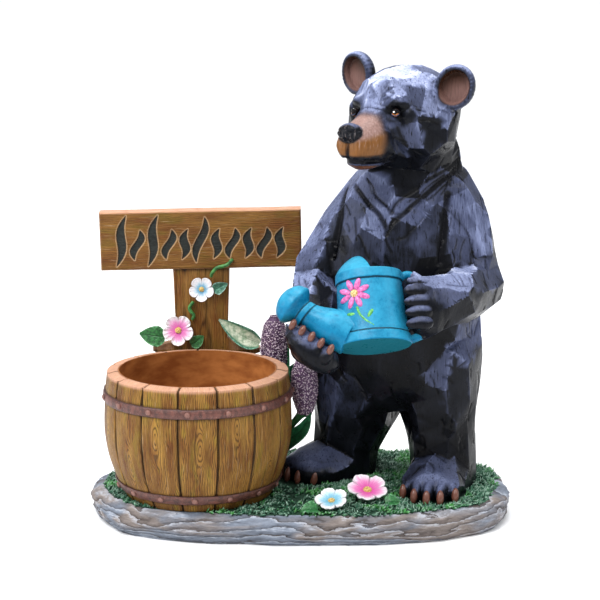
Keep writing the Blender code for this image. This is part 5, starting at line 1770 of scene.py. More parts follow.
def makeHoops():
    metal = Paint("hoopPaint", 0.45)
    place = metal.place()
    rust = place.noise(260, 4, 0.65)
    worn = place.noise(900, 3, 0.6)
    colour = rust.spread(0.36, 0.64).blend((0.045, 0.013, 0.010), (0.140, 0.046, 0.032))
    colour = worn.spread(0.60, 0.74, 0, 0.6).blend(colour, (0.30, 0.16, 0.12))
    # rivet caps paler: wear, and painted highlight on the dome
    colour = (metal.attribute("cap") * 0.6).blend(colour, (0.27, 0.13, 0.10))
    colour = (metal.attribute("rim") * 0.7).blend(colour, (0.030, 0.010, 0.008))
    metal.setColour(colour)
    metal.addBump(rust * 0.6 + worn, 0.0005, 0.8)
    rivetPlaces, rivetFacing = [], []
    for k, foot in enumerate(barrel["hoops"]):
        # the hoop's section: shares of its width, and how far out as shares of hoopProud
        shares = (-0.03, 0.03, 0.12, 0.5, 0.88, 0.97, 1.03, 1.0, 0.0)
        proud = (-1.2, 0.6, 1.0, 1.0, 1.0, 0.6, -1.2, -2.0, -2.0)
        heights = [foot + barrel["hoopWidth"] * s for s in shares]
        radii = [float(barrelRadius(z)) + barrel["hoopProud"] * p for z, p in zip(heights, proud)]

        def shape(turns, row):
            wave = valueNoise(rowsOf(np.cos(turns), np.sin(turns), row * 0.02 + k), 0.10, 3, 2)
            up = 0.00035 * wave * (row in (0, 1, 2, 4, 5, 6))
            return np.minimum(0.00012 * wave, 0) if proud[row] > 0 else turns * 0, up

        columns = barrel["columns"] // 2
        _, rings = turnedGrid(radii, heights, columns, shape)
        mesh = gridMesh("hoop", rings, closed=True)
        setNumbers(mesh, "rim", np.repeat(np.abs(np.array(shares) - 0.5) > 0.42, columns))
        mesh.transform(barrelFrame)
        addPiece(("upperHoop", "lowerHoop")[k], mesh, metal, sharpest=50)
        middle = foot + barrel["hoopWidth"] * 0.5
        reach = float(barrelRadius(middle)) + barrel["hoopProud"]
        for s in range(barrel["staves"]):
            turn = math.radians((3.0, 6.5)[k] + 360 / barrel["staves"] * s)
            rivetPlaces.append(barrelFrame @ Vector((reach * math.cos(turn), reach * math.sin(turn), middle)))
            rivetFacing.append((math.cos(turn), math.sin(turn), -0.12 if k == 0 else -0.45))
    form = bmesh.new()
    size = barrel["rivet"]
    levels = ((1.0, -0.25), (1.0, 0.12), (0.78, 0.42), (0.40, 0.62))
    rings = [
        [Vector((r * size * math.cos(t), r * size * math.sin(t), z * size)) for t in turnsOf(8)]
        for r, z in levels
    ]
    skinRings(form, rings)
    shapeMesh = formMesh(form, "rivet")
    setNumbers(shapeMesh, "rim", [1.0 if v.co.z < 0.1 * size else 0.0 for v in shapeMesh.vertices])
    setNumbers(shapeMesh, "cap", [1.0 if v.co.z > 0.2 * size else 0.0 for v in shapeMesh.vertices])
    rivets = scattered("rivets", rivetPlaces, rivetFacing, shapeMesh, metal, 3, 0.93, 1.07)
    addPiece("rivets", rivets, sharpest=60)


def scattered(name, places, facing, shapeMesh, paint, seed, least=0.8, most=1.2):
    # copies of a small shape at the given places, its Z along each facing, spun and sized at random
    shapeThing = looseObject(name + "Shape", shapeMesh)
    host = bpy.data.meshes.new(name)
    host.from_pydata([tuple(p) for p in places], [], [])
    setVectors(host, "facing", [tuple(f) for f in facing])
    thing = looseObject(name, host)
    tree = bpy.data.node_groups.new(name, "GeometryNodeTree")
    face = tree.interface
    face.new_socket("Geometry", in_out="OUTPUT", socket_type="NodeSocketGeometry")
    settings = {
        "Geometry": ("Geometry", None),
        "Shape": ("Object", shapeThing),
        "Paint": ("Material", paint.material),
        "Least size": ("Float", least), "Most size": ("Float", most), "Seed": ("Int", seed),
    }
    for label, (kind, _) in settings.items():
        face.new_socket(label, in_out="INPUT", socket_type="NodeSocket" + kind)

    def node(kind, inputs, output=0, prefix="GeometryNode", **options):
        return addNode(tree, prefix + kind, inputs, output, **options)

    ways = tree.nodes.new("NodeGroupInput").outputs
    shape = node("ObjectInfo", {"Object": ways["Shape"]}, "Geometry")
    pointing = node("InputNamedAttribute", {"Name": "facing"}, data_type="FLOAT_VECTOR")
    turned = node("AlignRotationToVector", {"Vector": pointing}, prefix="FunctionNode", axis="Z")
    spin = node("RandomValue", {"Max": math.tau, "Seed": ways["Seed"]}, 1, "FunctionNode")
    aboutZ = node("AxisAngleToRotation", {"Axis": (0.0, 0.0, 1.0), "Angle": spin}, prefix="FunctionNode")
    both = {"Rotation": turned, "Rotate By": aboutZ}
    spun = node("RotateRotation", both, prefix="FunctionNode", rotation_space="LOCAL")
    sizes = {2: ways["Least size"], 3: ways["Most size"], "Seed": ways["Seed"]}
    scale = node("RandomValue", sizes, 1, "FunctionNode")
    copies = node("InstanceOnPoints", {
        "Points": ways["Geometry"], "Instance": shape, "Rotation": spun, "Scale": scale,
    })
    real = node("RealizeInstances", {"Geometry": copies})
    painted = node("SetMaterial", {"Geometry": real, "Material": ways["Paint"]})
    plug(tree, tree.nodes.new("NodeGroupOutput").inputs[0], painted)
    scatter = thing.modifiers.new("scatter", "NODES")
    scatter.node_group = tree
    for item in face.items_tree:
        if item.in_out == "INPUT" and item.name != "Geometry":
            scatter[item.identifier] = settings[item.name][1]
    mesh = bakedMesh(thing)
    bpy.data.objects.remove(shapeThing, do_unlink=True)
    return mesh


# The sign: a board with rows of brush strokes, on a post

sign = {
    "boardWidth": 0.144,
    "boardShift": -0.0005,
    "boardHeight": 0.0425,
    "boardThickness": 0.014,
    "boardFoot": 0.1635,
    "boardRoll": 1.2,
    "postWidth": 0.0420,
    "postFoot": 0.0375,
    "postThickness": 0.0115,
    "postShift": -0.0005,
    "flareLeft": 0.0355,
    "flareRight": 0.0420,
    "flareRise": 0.0005,
    "strokeDepth": 0.0009,
    "strokes": 11,
    "step": 0.00045,
}
postFront = barrel["middle"][1] + float(barrelRadius(barrel["hoops"][0])) + barrel["hoopProud"] + jointGap
boardFront = postFront - 0.0022
rim = groundFoot + barrel["height"]


def strokeOutline(length, width, lean, bend, count=16):
    points = []
    for side in (1, -1):
        for k in range(count):
            share = k / count if side == 1 else 1 - k / count
            along = (share - 0.5) * length
            swell = width * 0.5 * math.sin(math.pi * share) ** 0.8
            points.append((side * swell + bend * math.sin(math.tau * share) + along * math.tan(lean), along))
    return np.array(points)


def insideBy(points, outline):
    # how far each point lies inside a closed outline; below zero outside
    best = np.full(len(points), 1e9)
    inside = np.zeros(len(points), bool)
    for a, b in zip(outline, np.roll(outline, -1, 0)):
        edge = b - a
        part = np.clip(((points - a) @ edge) / max(edge @ edge, 1e-18), 0, 1)
        best = np.minimum(best, lengths(points - a - part[:, None] * edge))
        crosses = (a[1] > points[:, 1]) != (b[1] > points[:, 1])
        reach = a[0] + (points[:, 1] - a[1]) * edge[0] / (edge[1] if abs(edge[1]) > 1e-12 else 1e-12)
        inside ^= crosses & (points[:, 0] < reach)
    return np.where(inside, best, -best)


def boxRing(halfX, halfZ, corner, columns, rows):
    # points round a rounded rectangle in X and Z, evenly spread along each side
    ring = []
    for x0, z0, x1, z1, count in (
        (-1, -1, 1, -1, columns), (1, -1, 1, 1, rows), (1, 1, -1, 1, columns), (-1, 1, -1, -1, rows),
    ):
        for k in range(count):
            t = k / count
            ring.append((x0 + (x1 - x0) * t, z0 + (z1 - z0) * t))
    sides = np.array(ring) * (halfX, halfZ)
    inset = np.array((halfX - corner, halfZ - corner))
    over = np.maximum(np.abs(sides) - inset, 0)
    reach = np.hypot(*over.T)
    pull = np.where(reach > corner, corner / np.maximum(reach, 1e-12), 1.0)
    return (np.sign(sides) * (np.minimum(np.abs(sides), inset) + over * pull[:, None])).T


def makeBoard():
    width, high, thick = sign["boardWidth"], sign["boardHeight"], sign["boardThickness"]
    columns, rows = int(width / sign["step"]), int(high / sign["step"])
    xs, zs = np.linspace(-0.5, 0.5, columns + 1) * width, np.linspace(-0.5, 0.5, rows + 1) * high
    gridX, gridZ = np.meshgrid(xs, zs)
    flat = rowsOf(gridX.ravel(), gridZ.ravel())
    x, z = flat.T
    strokes = x * 0 - 1.0
    usable = width * 0.86
    for k in range(sign["strokes"]):
        share = (k + 0.5) / sign["strokes"] - 0.5
        tall = 0.86 if k in (0, 2) else (0.76 if k == 5 else 0.50)
        lift = 0.0 if tall > 0.6 else -0.07
        outline = strokeOutline(high * tall, high * 0.150, math.radians(12), high * 0.045 * (-1) ** k)
        outline = outline + np.array((share * usable, lift * high))
        strokes = np.maximum(strokes, insideBy(flat, outline))

    edge = np.minimum(width / 2 - np.abs(x), high / 2 - np.abs(z))

    def sheet(front):
        # one broad side of the board, with worn edges and low grain
        grain = valueNoise(rowsOf(x * 0.10, z, front), 0.0016, 8, 2)
        dent = held(valueNoise(rowsOf(x * 0.22, z, 0), 0.006, 4, 2) - 0.35)
        nicks = valueNoise(rowsOf(x, z, 3), 0.004, 9, 2)
        worn = 0.0013 * held(1 - edge / 0.0016) ** 2 + 0.0007 * held(1 - edge / 0.0022) * held(nicks)
        sunk = worn + 0.00022 * (1 - grain) * 0.5 + 0.0006 * dent
        if front:
            press = held(strokes / 0.0006 + 0.5)
            ridge = np.exp(-((strokes + 0.0006) / 0.0005) ** 2)
            sunk = sunk * (1 - press) + sign["strokeDepth"] * press - 0.00010 * ridge
        return np.maximum(sunk, 0.0)

    wave = valueNoise(rowsOf(x, 0, z * 0.2), 0.03, 5, 2)
    ends = x - np.sign(x) * 0.0005 * held(np.abs(x) / (width / 2) - 0.96) * 25
    tops = z - np.sign(z) * 0.0015 * held(np.abs(z) / (high / 2) - 0.8) * (1 + wave)
    points = np.vstack([rowsOf(ends, y, tops) for y in (sheet(True) - thick / 2, thick / 2 - sheet(False))])
    wide = columns + 1
    faces = []
    for r in range(rows):
        for c in range(columns):
            a = r * wide + c
            faces.append((a, a + 1, a + wide + 1, a + wide))
            b = a + len(flat)
            faces.append((b, b + wide, b + wide + 1, b + 1))
    border = list(range(columns)) + [r * wide + columns for r in range(rows)]
    border += [rows * wide + c for c in range(columns, 0, -1)] + [r * wide for r in range(rows, 0, -1)]
    for a, b in zip(border, border[1:] + border[:1]):
        faces.append((b, a, a + len(flat), b + len(flat)))
    mesh = bpy.data.meshes.new("board")
    mesh.from_pydata(points.tolist(), [], faces)
    setVectors(mesh, "grain", rowsOf(points[:, 2] * 1000, points[:, 0] * 1000, 60 + (points[:, 1] > 0)))
    setNumbers(mesh, "stroke", np.append(strokes, x * 0 - 1.0))
    # the top edge painted paler as a highlight; the other edges a little paler
    topEdge, otherEdge = held(1 - (high / 2 - z) / 0.0017), 0.35 * held(1 - edge / 0.0010)
    setNumbers(mesh, "pale", np.tile(np.maximum(topEdge, otherEdge), 2))
    setNumbers(mesh, "wash", np.tile(0.15 * held(1 - (width / 2 - np.abs(x)) / 0.004), 2))
    setNumbers(mesh, "knotAway", points[:, 0] * 0 + 40.0)
    middle = Vector((
        barrel["middle"][0] + sign["boardShift"], boardFront + thick / 2, sign["boardFoot"] + high / 2,
    ))
    mesh.transform(Matrix.Translation(middle) @ Matrix.Rotation(math.radians(-sign["boardRoll"]), 4, "Y"))
    paint, wood = woodPaint(
        "boardPaint", (0.038, 0.014, 0.004), (0.150, 0.054, 0.011), (0.260, 0.125, 0.027), 1.1,
        (0.165, 0.098, 0.013), 0.5, 0.70, 4.0,
    )
    rough = paint.place().noise(900, 2)
    reach = (rough - 0.5) * 0.0005 + paint.attribute("stroke")
    outer = reach.spread(-0.0011, -0.0006) * reach.spread(0.0001, -0.0003)
    withRim = (outer * 0.50).blend(wood, (0.55, 0.38, 0.22))
    black = paint.place().noise(400, 3).blend((0.008, 0.009, 0.008), (0.035, 0.040, 0.036))
    paint.setColour(reach.spread(-0.0002, 0.0002).blend(withRim, black))
    addPiece("signBoard", mesh, paint, "signboard", 45)


def makePost():
    top = sign["boardFoot"] + 0.5 * sign["boardHeight"]
    shelf = rim + sign["flareRise"]
    halfFoot, halfTop = sign["postFoot"] / 2, sign["postWidth"] / 2
    edges = []
    for flare, low, high, shoulder, above in (
        (sign["flareLeft"], 0.004, 0.001, 0.004, 0.007), (sign["flareRight"], 0.005, 0.002, 0.005, 0.006),
    ):
        edges.append(np.array((
            (groundFoot, halfFoot), (shelf - 0.012, halfFoot), (shelf - low, flare), (shelf - high, flare),
            (shelf + 0.002, halfFoot + shoulder), (shelf + above, halfFoot), (top, halfTop),
        )))
    rings, grain, wash, pale = [], [], [], []
    across, deep = 72, 12
    for z in np.unique(np.concatenate([np.linspace(groundFoot, top, 190)] + [edge[:, 0] for edge in edges])):
        left, right = (np.interp(z, *edge.T) for edge in edges)
        x, y = boxRing((left + right) / 2, sign["postThickness"] / 2, 0.0012, across, deep)
        x = x + (right - left) / 2
        spots = rowsOf(x, y, z * 0.09)
        crack, fine = valueNoise(spots, 0.0042, 14), valueNoise(spots, 0.0016, 15, 2)
        depth = 0.00045 * held(1 - np.abs(crack) / 0.13) + 0.0002 * (1 - fine)
        onFace = np.abs(y) > sign["postThickness"] / 2 - 0.0005
        y = y - np.sign(y) * depth * onFace
        x = x - np.sign(x) * 0.0003 * (~onFace) * (1 + fine)
        rings.append(rowsOf(x, y, z))
        grain.append(rowsOf(x * 1000, z * 1000, 71 + (y > 0)))
        # painted shadow of the board on the post, just under its lower edge
        boardShadow = 0.75 * held(1 - abs(sign["boardFoot"] - z) / 0.0025)
        wash.append(held(0.75 * held(1 - np.abs(crack) / 0.10) * onFace + boardShadow))
        pale.append(held((np.abs(x) - 0.019) / 0.006) * (z > shelf - 0.003) * 0.5)
    mesh = gridMesh("post", rings)
    setVectors(mesh, "grain", np.vstack([*grain, np.zeros((2, 3))]))
    gridNumbers(mesh, wash=(wash, 0, 0), pale=(pale, 0, 0))
    setNumbers(mesh, "knotAway", [40.0] * len(mesh.vertices))
    mesh.transform(Matrix.Translation((
        barrel["middle"][0] + sign["postShift"], postFront + sign["postThickness"] / 2, 0,
    )))
    paint, _ = woodPaint(
        "postPaint", (0.040, 0.014, 0.004), (0.165, 0.058, 0.012), (0.300, 0.150, 0.036), 1.2,
        (0.170, 0.100, 0.015), 0.5, 0.70, 5.0,
    )
    addPiece("signPost", mesh, paint, sharpest=45)


# The base: a slab of layered rock with grass on top

base = {
    "width": 0.295,
    "depth": 0.175,
    "height": 0.020,
    "columns": 560,
    "roundness": 2.45,        # 2 is an oval, higher is squarer
    "ledges": 2.6,            # steps of rock across the height of the noise
    "blades": 9500,
    "bladeLength": 0.0043,
    "bladeWidth": 0.00078,
}


def slabRaw(turns):
    power = 2.0 / base["roundness"]
    wave = 1.0 - 0.012 * (1 + np.sin(3 * turns + 0.6)) - 0.008 * (1 + np.sin(7 * turns + 2.1))
    circle = rowsOf(np.cos(turns), np.sin(turns))
    return np.sign(circle) * np.abs(circle) ** power * wave[:, None]


def slabEdge(turns):
    # the slab's edge for each direction, as in the solid model
    full = slabRaw(np.linspace(0, math.tau, 720))
    low, high = full.min(0), full.max(0)
    return ((slabRaw(turns) - low) / (high - low) - 0.5) * np.array((base["width"], base["depth"]))


def rockBorder(turns):
    # width of the bare rock border of the top, in metres
    spots = rowsOf(np.cos(turns), np.sin(turns), 0)
    wide = 0.0115 + 0.0045 * valueNoise(spots, 0.42, 21, 2) + 0.0022 * valueNoise(spots, 0.12, 22, 2)
    behind = held(np.sin(turns))
    return np.clip(wide - 0.003 * behind, 0.005, 0.020)


def makeBase():
    columns = base["columns"]
    turns = np.arange(columns) * math.tau / columns
    edge = slabEdge(turns)
    length = np.hypot(*edge.T)
    out = edge / length[:, None]
    border = rockBorder(turns)
    high = base["height"]
    rings, green = [], []

    def addRing(inset, z, grassShare):
        rings.append(rowsOf(*(out * (length - inset)[:, None]).T, z))
        green.append(np.zeros(columns) + grassShare)

    for share in (0.05, 0.3, 0.7, 0.95):
        addRing(length * (1 - share * 0.93), 0.0003 if share < 0.9 else 0.0, 0)
    for share in np.linspace(0, 1, 22):
        z = high * 0.80 * share
        plain = np.interp(share * 0.80, (0, 0.22, 0.55, 0.86, 1.0), (0.0050, 0.0012, 0.0, 0.0020, 0.0055))
        spots = rowsOf(*edge.T, z * 3.2)
        ledge = valueNoise(spots, 0.022, 31) * 0.65 + valueNoise(spots, 0.009, 32, 2) * 0.35
        steps = np.round(ledge * base["ledges"]) / base["ledges"]
        chunk = 0.75 * steps + 0.25 * ledge
        fine = valueNoise(spots * np.array((1, 1, 1.6)), 0.0016, 33, 2)
        inset = plain + 0.0018 - 0.0030 * chunk - 0.0004 * fine
        wave = 0.0006 * valueNoise(spots, 0.008, 34, 1) * math.sin(math.pi * share)
        addRing(np.maximum(inset, 0.0), np.maximum(z + wave, 0), 0)
    last = length - np.hypot(*rings[-1].T[:2])
    for share in np.linspace(0.06, 1, 22):
        inset = last + (border - last) * share
        spots = rowsOf(*(out * (length - inset)[:, None]).T, 0.3)
        ledge = valueNoise(spots * np.array((0.8, 1.5, 1)), 0.020, 41, 2)
        steps = np.round(ledge * base["ledges"]) / base["ledges"]
        drop = 0.80 + 0.20 * share**0.62
        z = high * drop + 0.0019 * (0.75 * steps + 0.25 * ledge) * math.sin(math.pi * share) ** 0.5
        z += 0.0003 * valueNoise(spots, 0.0018, 42, 2)
        addRing(inset, np.minimum(z, high - 0.0001), blendShare(share + 0.10 * ledge, 0.86, 1.0))
    for share in (0.03, 0.10, 0.2, 0.35, 0.5, 0.65, 0.8, 0.93):
        inset = border + (length - border) * share
        addRing(inset, high - 0.0004, 1.0)
    mesh = gridMesh("base", rings)
    gridNumbers(mesh, green=(green, 0, 1))
    paint = Paint("rockPaint", 0.75)
    place = paint.place((0.42, 0.5, 1.9))
    broad = place.noise(34, 3, 0.6, 0.5)
    mid = place.noise(130, 4, 0.6, 0.4)
    fine = place.noise(520, 4, 0.7)
    level = paint.place((1, 1, 170)).part(2)
    swell = place.noise(36, 2, 0.5, 0.6) * 5.0 + level
    terrace = (mid * 1.3 + swell).maths("FRACT")
    tone = (fine - 0.5) * 1.1 + terrace
    stone = tone.spread(0.0, 0.9).blend((0.080, 0.092, 0.120), (0.235, 0.270, 0.335))
    sandy = tone.spread(0.0, 0.9).blend((0.098, 0.074, 0.064), (0.285, 0.235, 0.205))
    stone = broad.spread(0.47, 0.60, 0, 0.9).blend(stone, sandy)
    stone = (tone.spread(0.75, 1.10) * 0.8).blend(stone, (0.47, 0.50, 0.57))
    crack = terrace.spread(0.20, 0.02) * mid.spread(0.42, 0.58, 0.90, 0.10)
    stone = crack.blend(stone, (0.050, 0.036, 0.030))
    turf = fine.blend((0.004, 0.020, 0.011), (0.012, 0.065, 0.030))
    fringe = (fine - 0.5) * 0.9 + paint.attribute("green")
    paint.setColour(fringe.spread(0.35, 0.6).blend(stone, turf))
    paint.addBump(terrace * 1.2 + fine * 0.4 + mid, 0.0014, 1.0)
    addPiece("rockBase", mesh, paint, "rock_base", 60)
    makeGrass()


def solidShadows():
    # where no grass grows: rounds of (middle x, middle y, radius), and boxes of two corners
    bearX, bearY = bear["foot"]
    rounds = [(barrel["middle"][0], barrel["middle"][1], barrel["footRadius"] + 0.0004)]
    boxes = [(
        barrel["middle"][0] - sign["postFoot"] / 2 - 0.001, postFront - 0.001,
        barrel["middle"][0] + sign["postFoot"] / 2 + 0.001, postFront + sign["postThickness"] + 0.001,
    )]
    for ankle, yaw in ((Vector((29, -8)), -14), (Vector((-37, 19)), -57)):
        turn = math.radians(yaw)
        for forward, radius in ((-2, 21.5), (10, 22.5), (22, 22), (34, 21.5), (42, 17)):
            x = ankle.x + forward * math.sin(turn)
            y = ankle.y - forward * math.cos(turn)
            rounds.append((bearX + x * unit, bearY + y * unit, radius * unit))
    return rounds, boxes


def makeGrass():
    pick = np.random.RandomState(17)
    rounds, boxes = solidShadows()
    tries = base["blades"] * 3
    turns = pick.uniform(0, math.tau, tries)
    edge = slabEdge(turns)
    length = np.hypot(*edge.T)
    share = np.sqrt(pick.uniform(0, 1, tries))
    weight = length**2 / (length**2).max()
    keep = pick.uniform(0, 1, tries) < weight
    spots = edge * share[:, None]
    depth = length * (1 - share)
    keep &= depth > rockBorder(turns) - 0.0012
    for x, y, radius in rounds:
        keep &= np.hypot(spots[:, 0] - x, spots[:, 1] - y) > radius + 0.0004
    for x0, y0, x1, y1 in boxes:
        keep &= ~((spots[:, 0] > x0) & (spots[:, 0] < x1) & (spots[:, 1] > y0) & (spots[:, 1] < y1))
    spots = spots[keep][: base["blades"]]
    flow = valueNoise(rowsOf(*spots.T, 0), 0.010, 51, 2) * math.pi * 1.6
    flow += pick.normal(0, 0.55, len(spots))
    lean = pick.uniform(0.75, 1.9, len(spots))
    facing = rowsOf(np.cos(flow) * lean, np.sin(flow) * lean, 1)
    facing /= lengths(facing)[:, None]
    places = rowsOf(*spots.T, groundTop - 0.0006)
    long, wide = base["bladeLength"], base["bladeWidth"]
    form = bmesh.new()
    rings = []
    for up, girth, bend in ((0.0, wide, 0.0), (0.55, wide * 0.95, 0.10)):
        rings.append([
            form.verts.new((girth * math.cos(t) + bend * long, girth * 0.8 * math.sin(t), up * long))
            for t in turnsOf(3)
        ])
    tip = form.verts.new((0.34 * long, 0, long * 0.95))
    for i in range(3):
        j = (i + 1) % 3
        form.faces.new((rings[0][i], rings[0][j], rings[1][j], rings[1][i]))
        form.faces.new((rings[1][i], rings[1][j], tip))
    form.faces.new(rings[0][::-1])
    blade = formMesh(form, "blade")
    setNumbers(blade, "tip", [v.co.z / long for v in blade.vertices])
    paint = Paint("grassPaint", 0.45)
    place, tip = paint.place(), paint.attribute("tip")
    green = place.noise(45, 3).spread(0.50, 0.60).blend((0.020, 0.110, 0.055), (0.050, 0.290, 0.045))
    # darker low on each blade: painted shade among the blades
    green = tip.spread(0.05, 0.55).blend((0.004, 0.026, 0.014), green)
    # paler tips in patches: dry tips and painted highlight
    dryAndLit = place.noise(380, 2).spread(0.46, 0.60) * tip.spread(0.30, 0.8) * 0.8
    paint.setColour(dryAndLit.blend(green, (0.400, 0.580, 0.460)))
    grass = scattered("grass", places, facing, blade, paint, 5, 0.75, 1.25)
    addPiece("grass", grass)


# Flowers, leaves and vines

plants = {
    "postPink": 0.0112,
    "postBlue": 0.0090,
    "groundPink": 0.0140,
    "groundBlue": 0.0112,
    "petalThickness": 0.0015,
    "leafThickness": 0.0014,
    "vine": 0.0013,
    "tallRadius": 0.0098,
    "tallHeight": 0.1115,
    "shortRadius": 0.0088,
    "shortFoot": 0.0500,
    "shortHeight": 0.0900,
    "stem": 0.0026,
    "clearance": 0.0028,
    "floret": 0.00078,
    "floretRows": 0.00118,     # from one row of florets to the next
    "floretGap": 0.00128,      # along a row
    "tipHeight": 0.0035,       # of the rounded end of a spike
}


def petalPaint(name, deep, soft, reach):
    # white petals with a tint that runs out from the middle in streaks
    paint = Paint(name, 0.45)
    share, around = paint.attribute("reach"), paint.attribute("around")
    streak = vectorOf(around * 7.0, share, 0.0).noise(3.0, 3, 0.6)
    fade = (streak - 0.5) * 0.75 + share
    colour = fade.spread(0.20, reach).blend(deep, soft)
    colour = fade.spread(reach - 0.30, reach + 0.05).blend(colour, (0.86, 0.84, 0.86))
    colour = (paint.attribute("crease") * 0.55).blend(colour, [0.35 * c + 0.05 for c in deep])
    paint.setColour(colour)
    paint.addBump(streak, 0.0006, 0.7)
    return paint


def makeFlower(name, centre, facing, radius, footPoint, footNormal, node, tints, seed, cupShare=0.22):
    facing = Vector(facing).normalized()
    side = facing.cross(Vector((0.31, 0.2, 0.93))).normalized()
    upward = side.cross(facing)
    columns = 150
    lift, thick = cupShare * radius, plants["petalThickness"]
    turns = np.arange(columns) * math.tau / columns
    lobe = 0.66 + 0.34 * np.abs(np.sin(2.5 * turns)) ** 0.36
    petal = np.abs(np.sin(2.5 * turns))
    pick = np.random.RandomState(seed)
    frill = sum(pick.uniform(0.3, 1) * np.sin(n * turns + pick.uniform(0, 6)) for n in (11, 17, 23)) / 3
    rings, reach, crease = [], [], []

    def addRing(share, height, lobed, ruffle=0.0):
        r = radius * share * (1 - lobed + lobed * lobe)
        h = height + ruffle * radius * (0.9 * frill + 0.8 * (petal - 0.6)) * share**2
        rings.append(np.array([
            centre + (side * math.cos(t) + upward * math.sin(t)) * float(a) + facing * float(b)
            for t, a, b in zip(turns, r, h)
        ]))
        reach.append(turns * 0 + share)
        crease.append(held(1 - petal / 0.22) * min(1.0, share * 1.4) * lobed)

    addRing(0.26, 0.0, 0.0)
    foot = rings[0]
    normal = np.array(footNormal)
    rings[0] = foot - ((foot - np.array(footPoint)) @ normal)[:, None] * normal
    for share, height in ((0.45, 0.15), (0.72, 0.50), (0.90, 0.85)):
        addRing(share, lift * height, min(1.0, share * 1.1), 0.05)
    addRing(0.985, lift + 0.2 * thick, 1.0, 0.075)
    addRing(1.0, lift + 0.7 * thick, 1.0, 0.08)
    addRing(0.965, lift + thick, 1.0, 0.08)
    for share in (0.88, 0.78, 0.66, 0.54, 0.42, 0.32, 0.24):
        cup = lift * (0.42 + 0.58 * share**1.6) + thick * 0.9
        addRing(share, cup, min(1.0, 0.25 + share), 0.075 * share)
    addRing(0.10, lift * 0.42 + thick * 0.8, 0.0)
    mesh = gridMesh(name, rings)
    gridNumbers(mesh, reach=(reach, 0.2, 0.1), crease=(crease, 0, 0), around=([turns] * len(rings), 0, 0))
    addPiece(name, mesh, petalPaint(name + "Paint", *tints), node, 60)
    form = bmesh.new()
    hub = centre + facing * (lift * 0.42 + thick * 0.9)
    addBall(form, Matrix.Translation(hub) @ turnedTo(facing), (0.20 * radius, 0.20 * radius, 0.13 * radius))
    middle = formMesh(form, name + "Middle")
    grains, ways = [], []
    for vertex in middle.vertices:
        if vertex.normal.dot(facing) > 0.1 and vertex.index % 2:
            grains.append(vertex.co.copy())
            ways.append(tuple(vertex.normal))
    seedForm = bmesh.new()
    bmesh.ops.create_icosphere(seedForm, subdivisions=1, radius=0.032 * radius)
    yellow = spotPaint(name + "Yellow", (0.44, 0.24, 0.03), (0.90, 0.72, 0.30), 1300, 0.5, 0.0005)
    addPiece(name + "Middle", middle, yellow)
    dots = scattered(name + "Grains", grains, ways, formMesh(seedForm, "grainShape"), yellow, seed, 0.8, 1.2)
    addPiece(name + "Grains", dots)


def leafPaint(
    name, dark=(0.008, 0.060, 0.016), light=(0.045, 0.230, 0.060), edge=(0.22, 0.52, 0.26), cream=None,
):
    paint = Paint(name, 0.36)
    along, across = paint.attribute("along"), paint.attribute("across")
    fine = paint.place().noise(600, 4, 0.6)
    wide = abs(across)
    vein = wide * -3.0 + along * 9.0
    wave = abs((vein * math.pi).maths("SINE")).spread(0.22, 0.02)
    lines = wave.maths("MAXIMUM", wide.spread(0.09, 0.03))
    body = fine.spread(0.34, 0.66).blend(dark, light)
    body = (lines * 0.55).blend(body, dark)
    rimMask = wide.spread(0.78, 0.98) * fine.spread(0.38, 0.6)
    body = rimMask.blend(body, edge)
    if cream:
        inner = paint.place().noise(260, 4, 0.65).spread(0.38, 0.60).blend((0.24, 0.36, 0.22), cream)
        mask = paint.attribute("shows") * wide.spread(0.80, 0.62)
        body = mask.blend(body, inner)
    paint.setColour(body)
    paint.addBump(lines * -0.8 + fine, 0.0006, 0.8)
    return paint


def leafMesh(name, path, normal, width, fold=0.35, wavy=0.0, cup=1.0, seed=1):
    # a leaf along a path from stalk to tip, folded along its rib; normal is the side that shows
    thick = plants["leafThickness"]
    centres = [Vector(r) for r in smoothThrough([tuple(p) for p in path], 12)]
    last = len(centres) - 1
    ways = np.linspace(-1, 1, 17)
    rings, along, across, shows = [], [], [], []
    for i, centre in enumerate(centres):
        share = i / last
        direction = (centres[min(i + 1, last)] - centres[max(i - 1, 0)]).normalized()
        aside = direction.cross(Vector(normal)).normalized()
        out = aside.cross(direction).normalized()
        half = 0.5 * width * max(0.12, math.sin(math.pi * min(1.0, 0.06 + 0.94 * share) ** 0.85) ** 0.75)
        if i == last:
            half = 0.05 * width
        ring, wide = [], []
        for layer in (0, 1):
            for w in ways if layer == 0 else ways[::-1]:
                ripple = wavy * half * math.sin(share * 17 + seed) * w * w
                lift = fold * half * abs(w) ** cup + ripple
                depth = 0 if layer == 0 else thick * (1 - 0.55 * abs(w) ** 3)
                ring.append(centre + aside * (w * half) + out * (lift - depth))
                wide.append(w)
        rings.append(np.array(ring))
        along.append(np.full(len(ring), share))
        across.append(np.array(wide))
        shows.append(np.array([1.0] * len(ways) + [0.0] * len(ways)))
    mesh = gridMesh(name, rings)
    gridNumbers(mesh, along=(along, 0, 1), across=(across, 0, 0), shows=(shows, 1, 1))
    return mesh


def onPost(across, up, out):
    # in front of the post: across in post widths, up as a share of the way from rim to board
    return Vector((
        barrel["middle"][0] + sign["postShift"] + across * sign["postWidth"],
        postFront - jointGap - out,
        rim + up * (sign["boardFoot"] - rim),
    ))


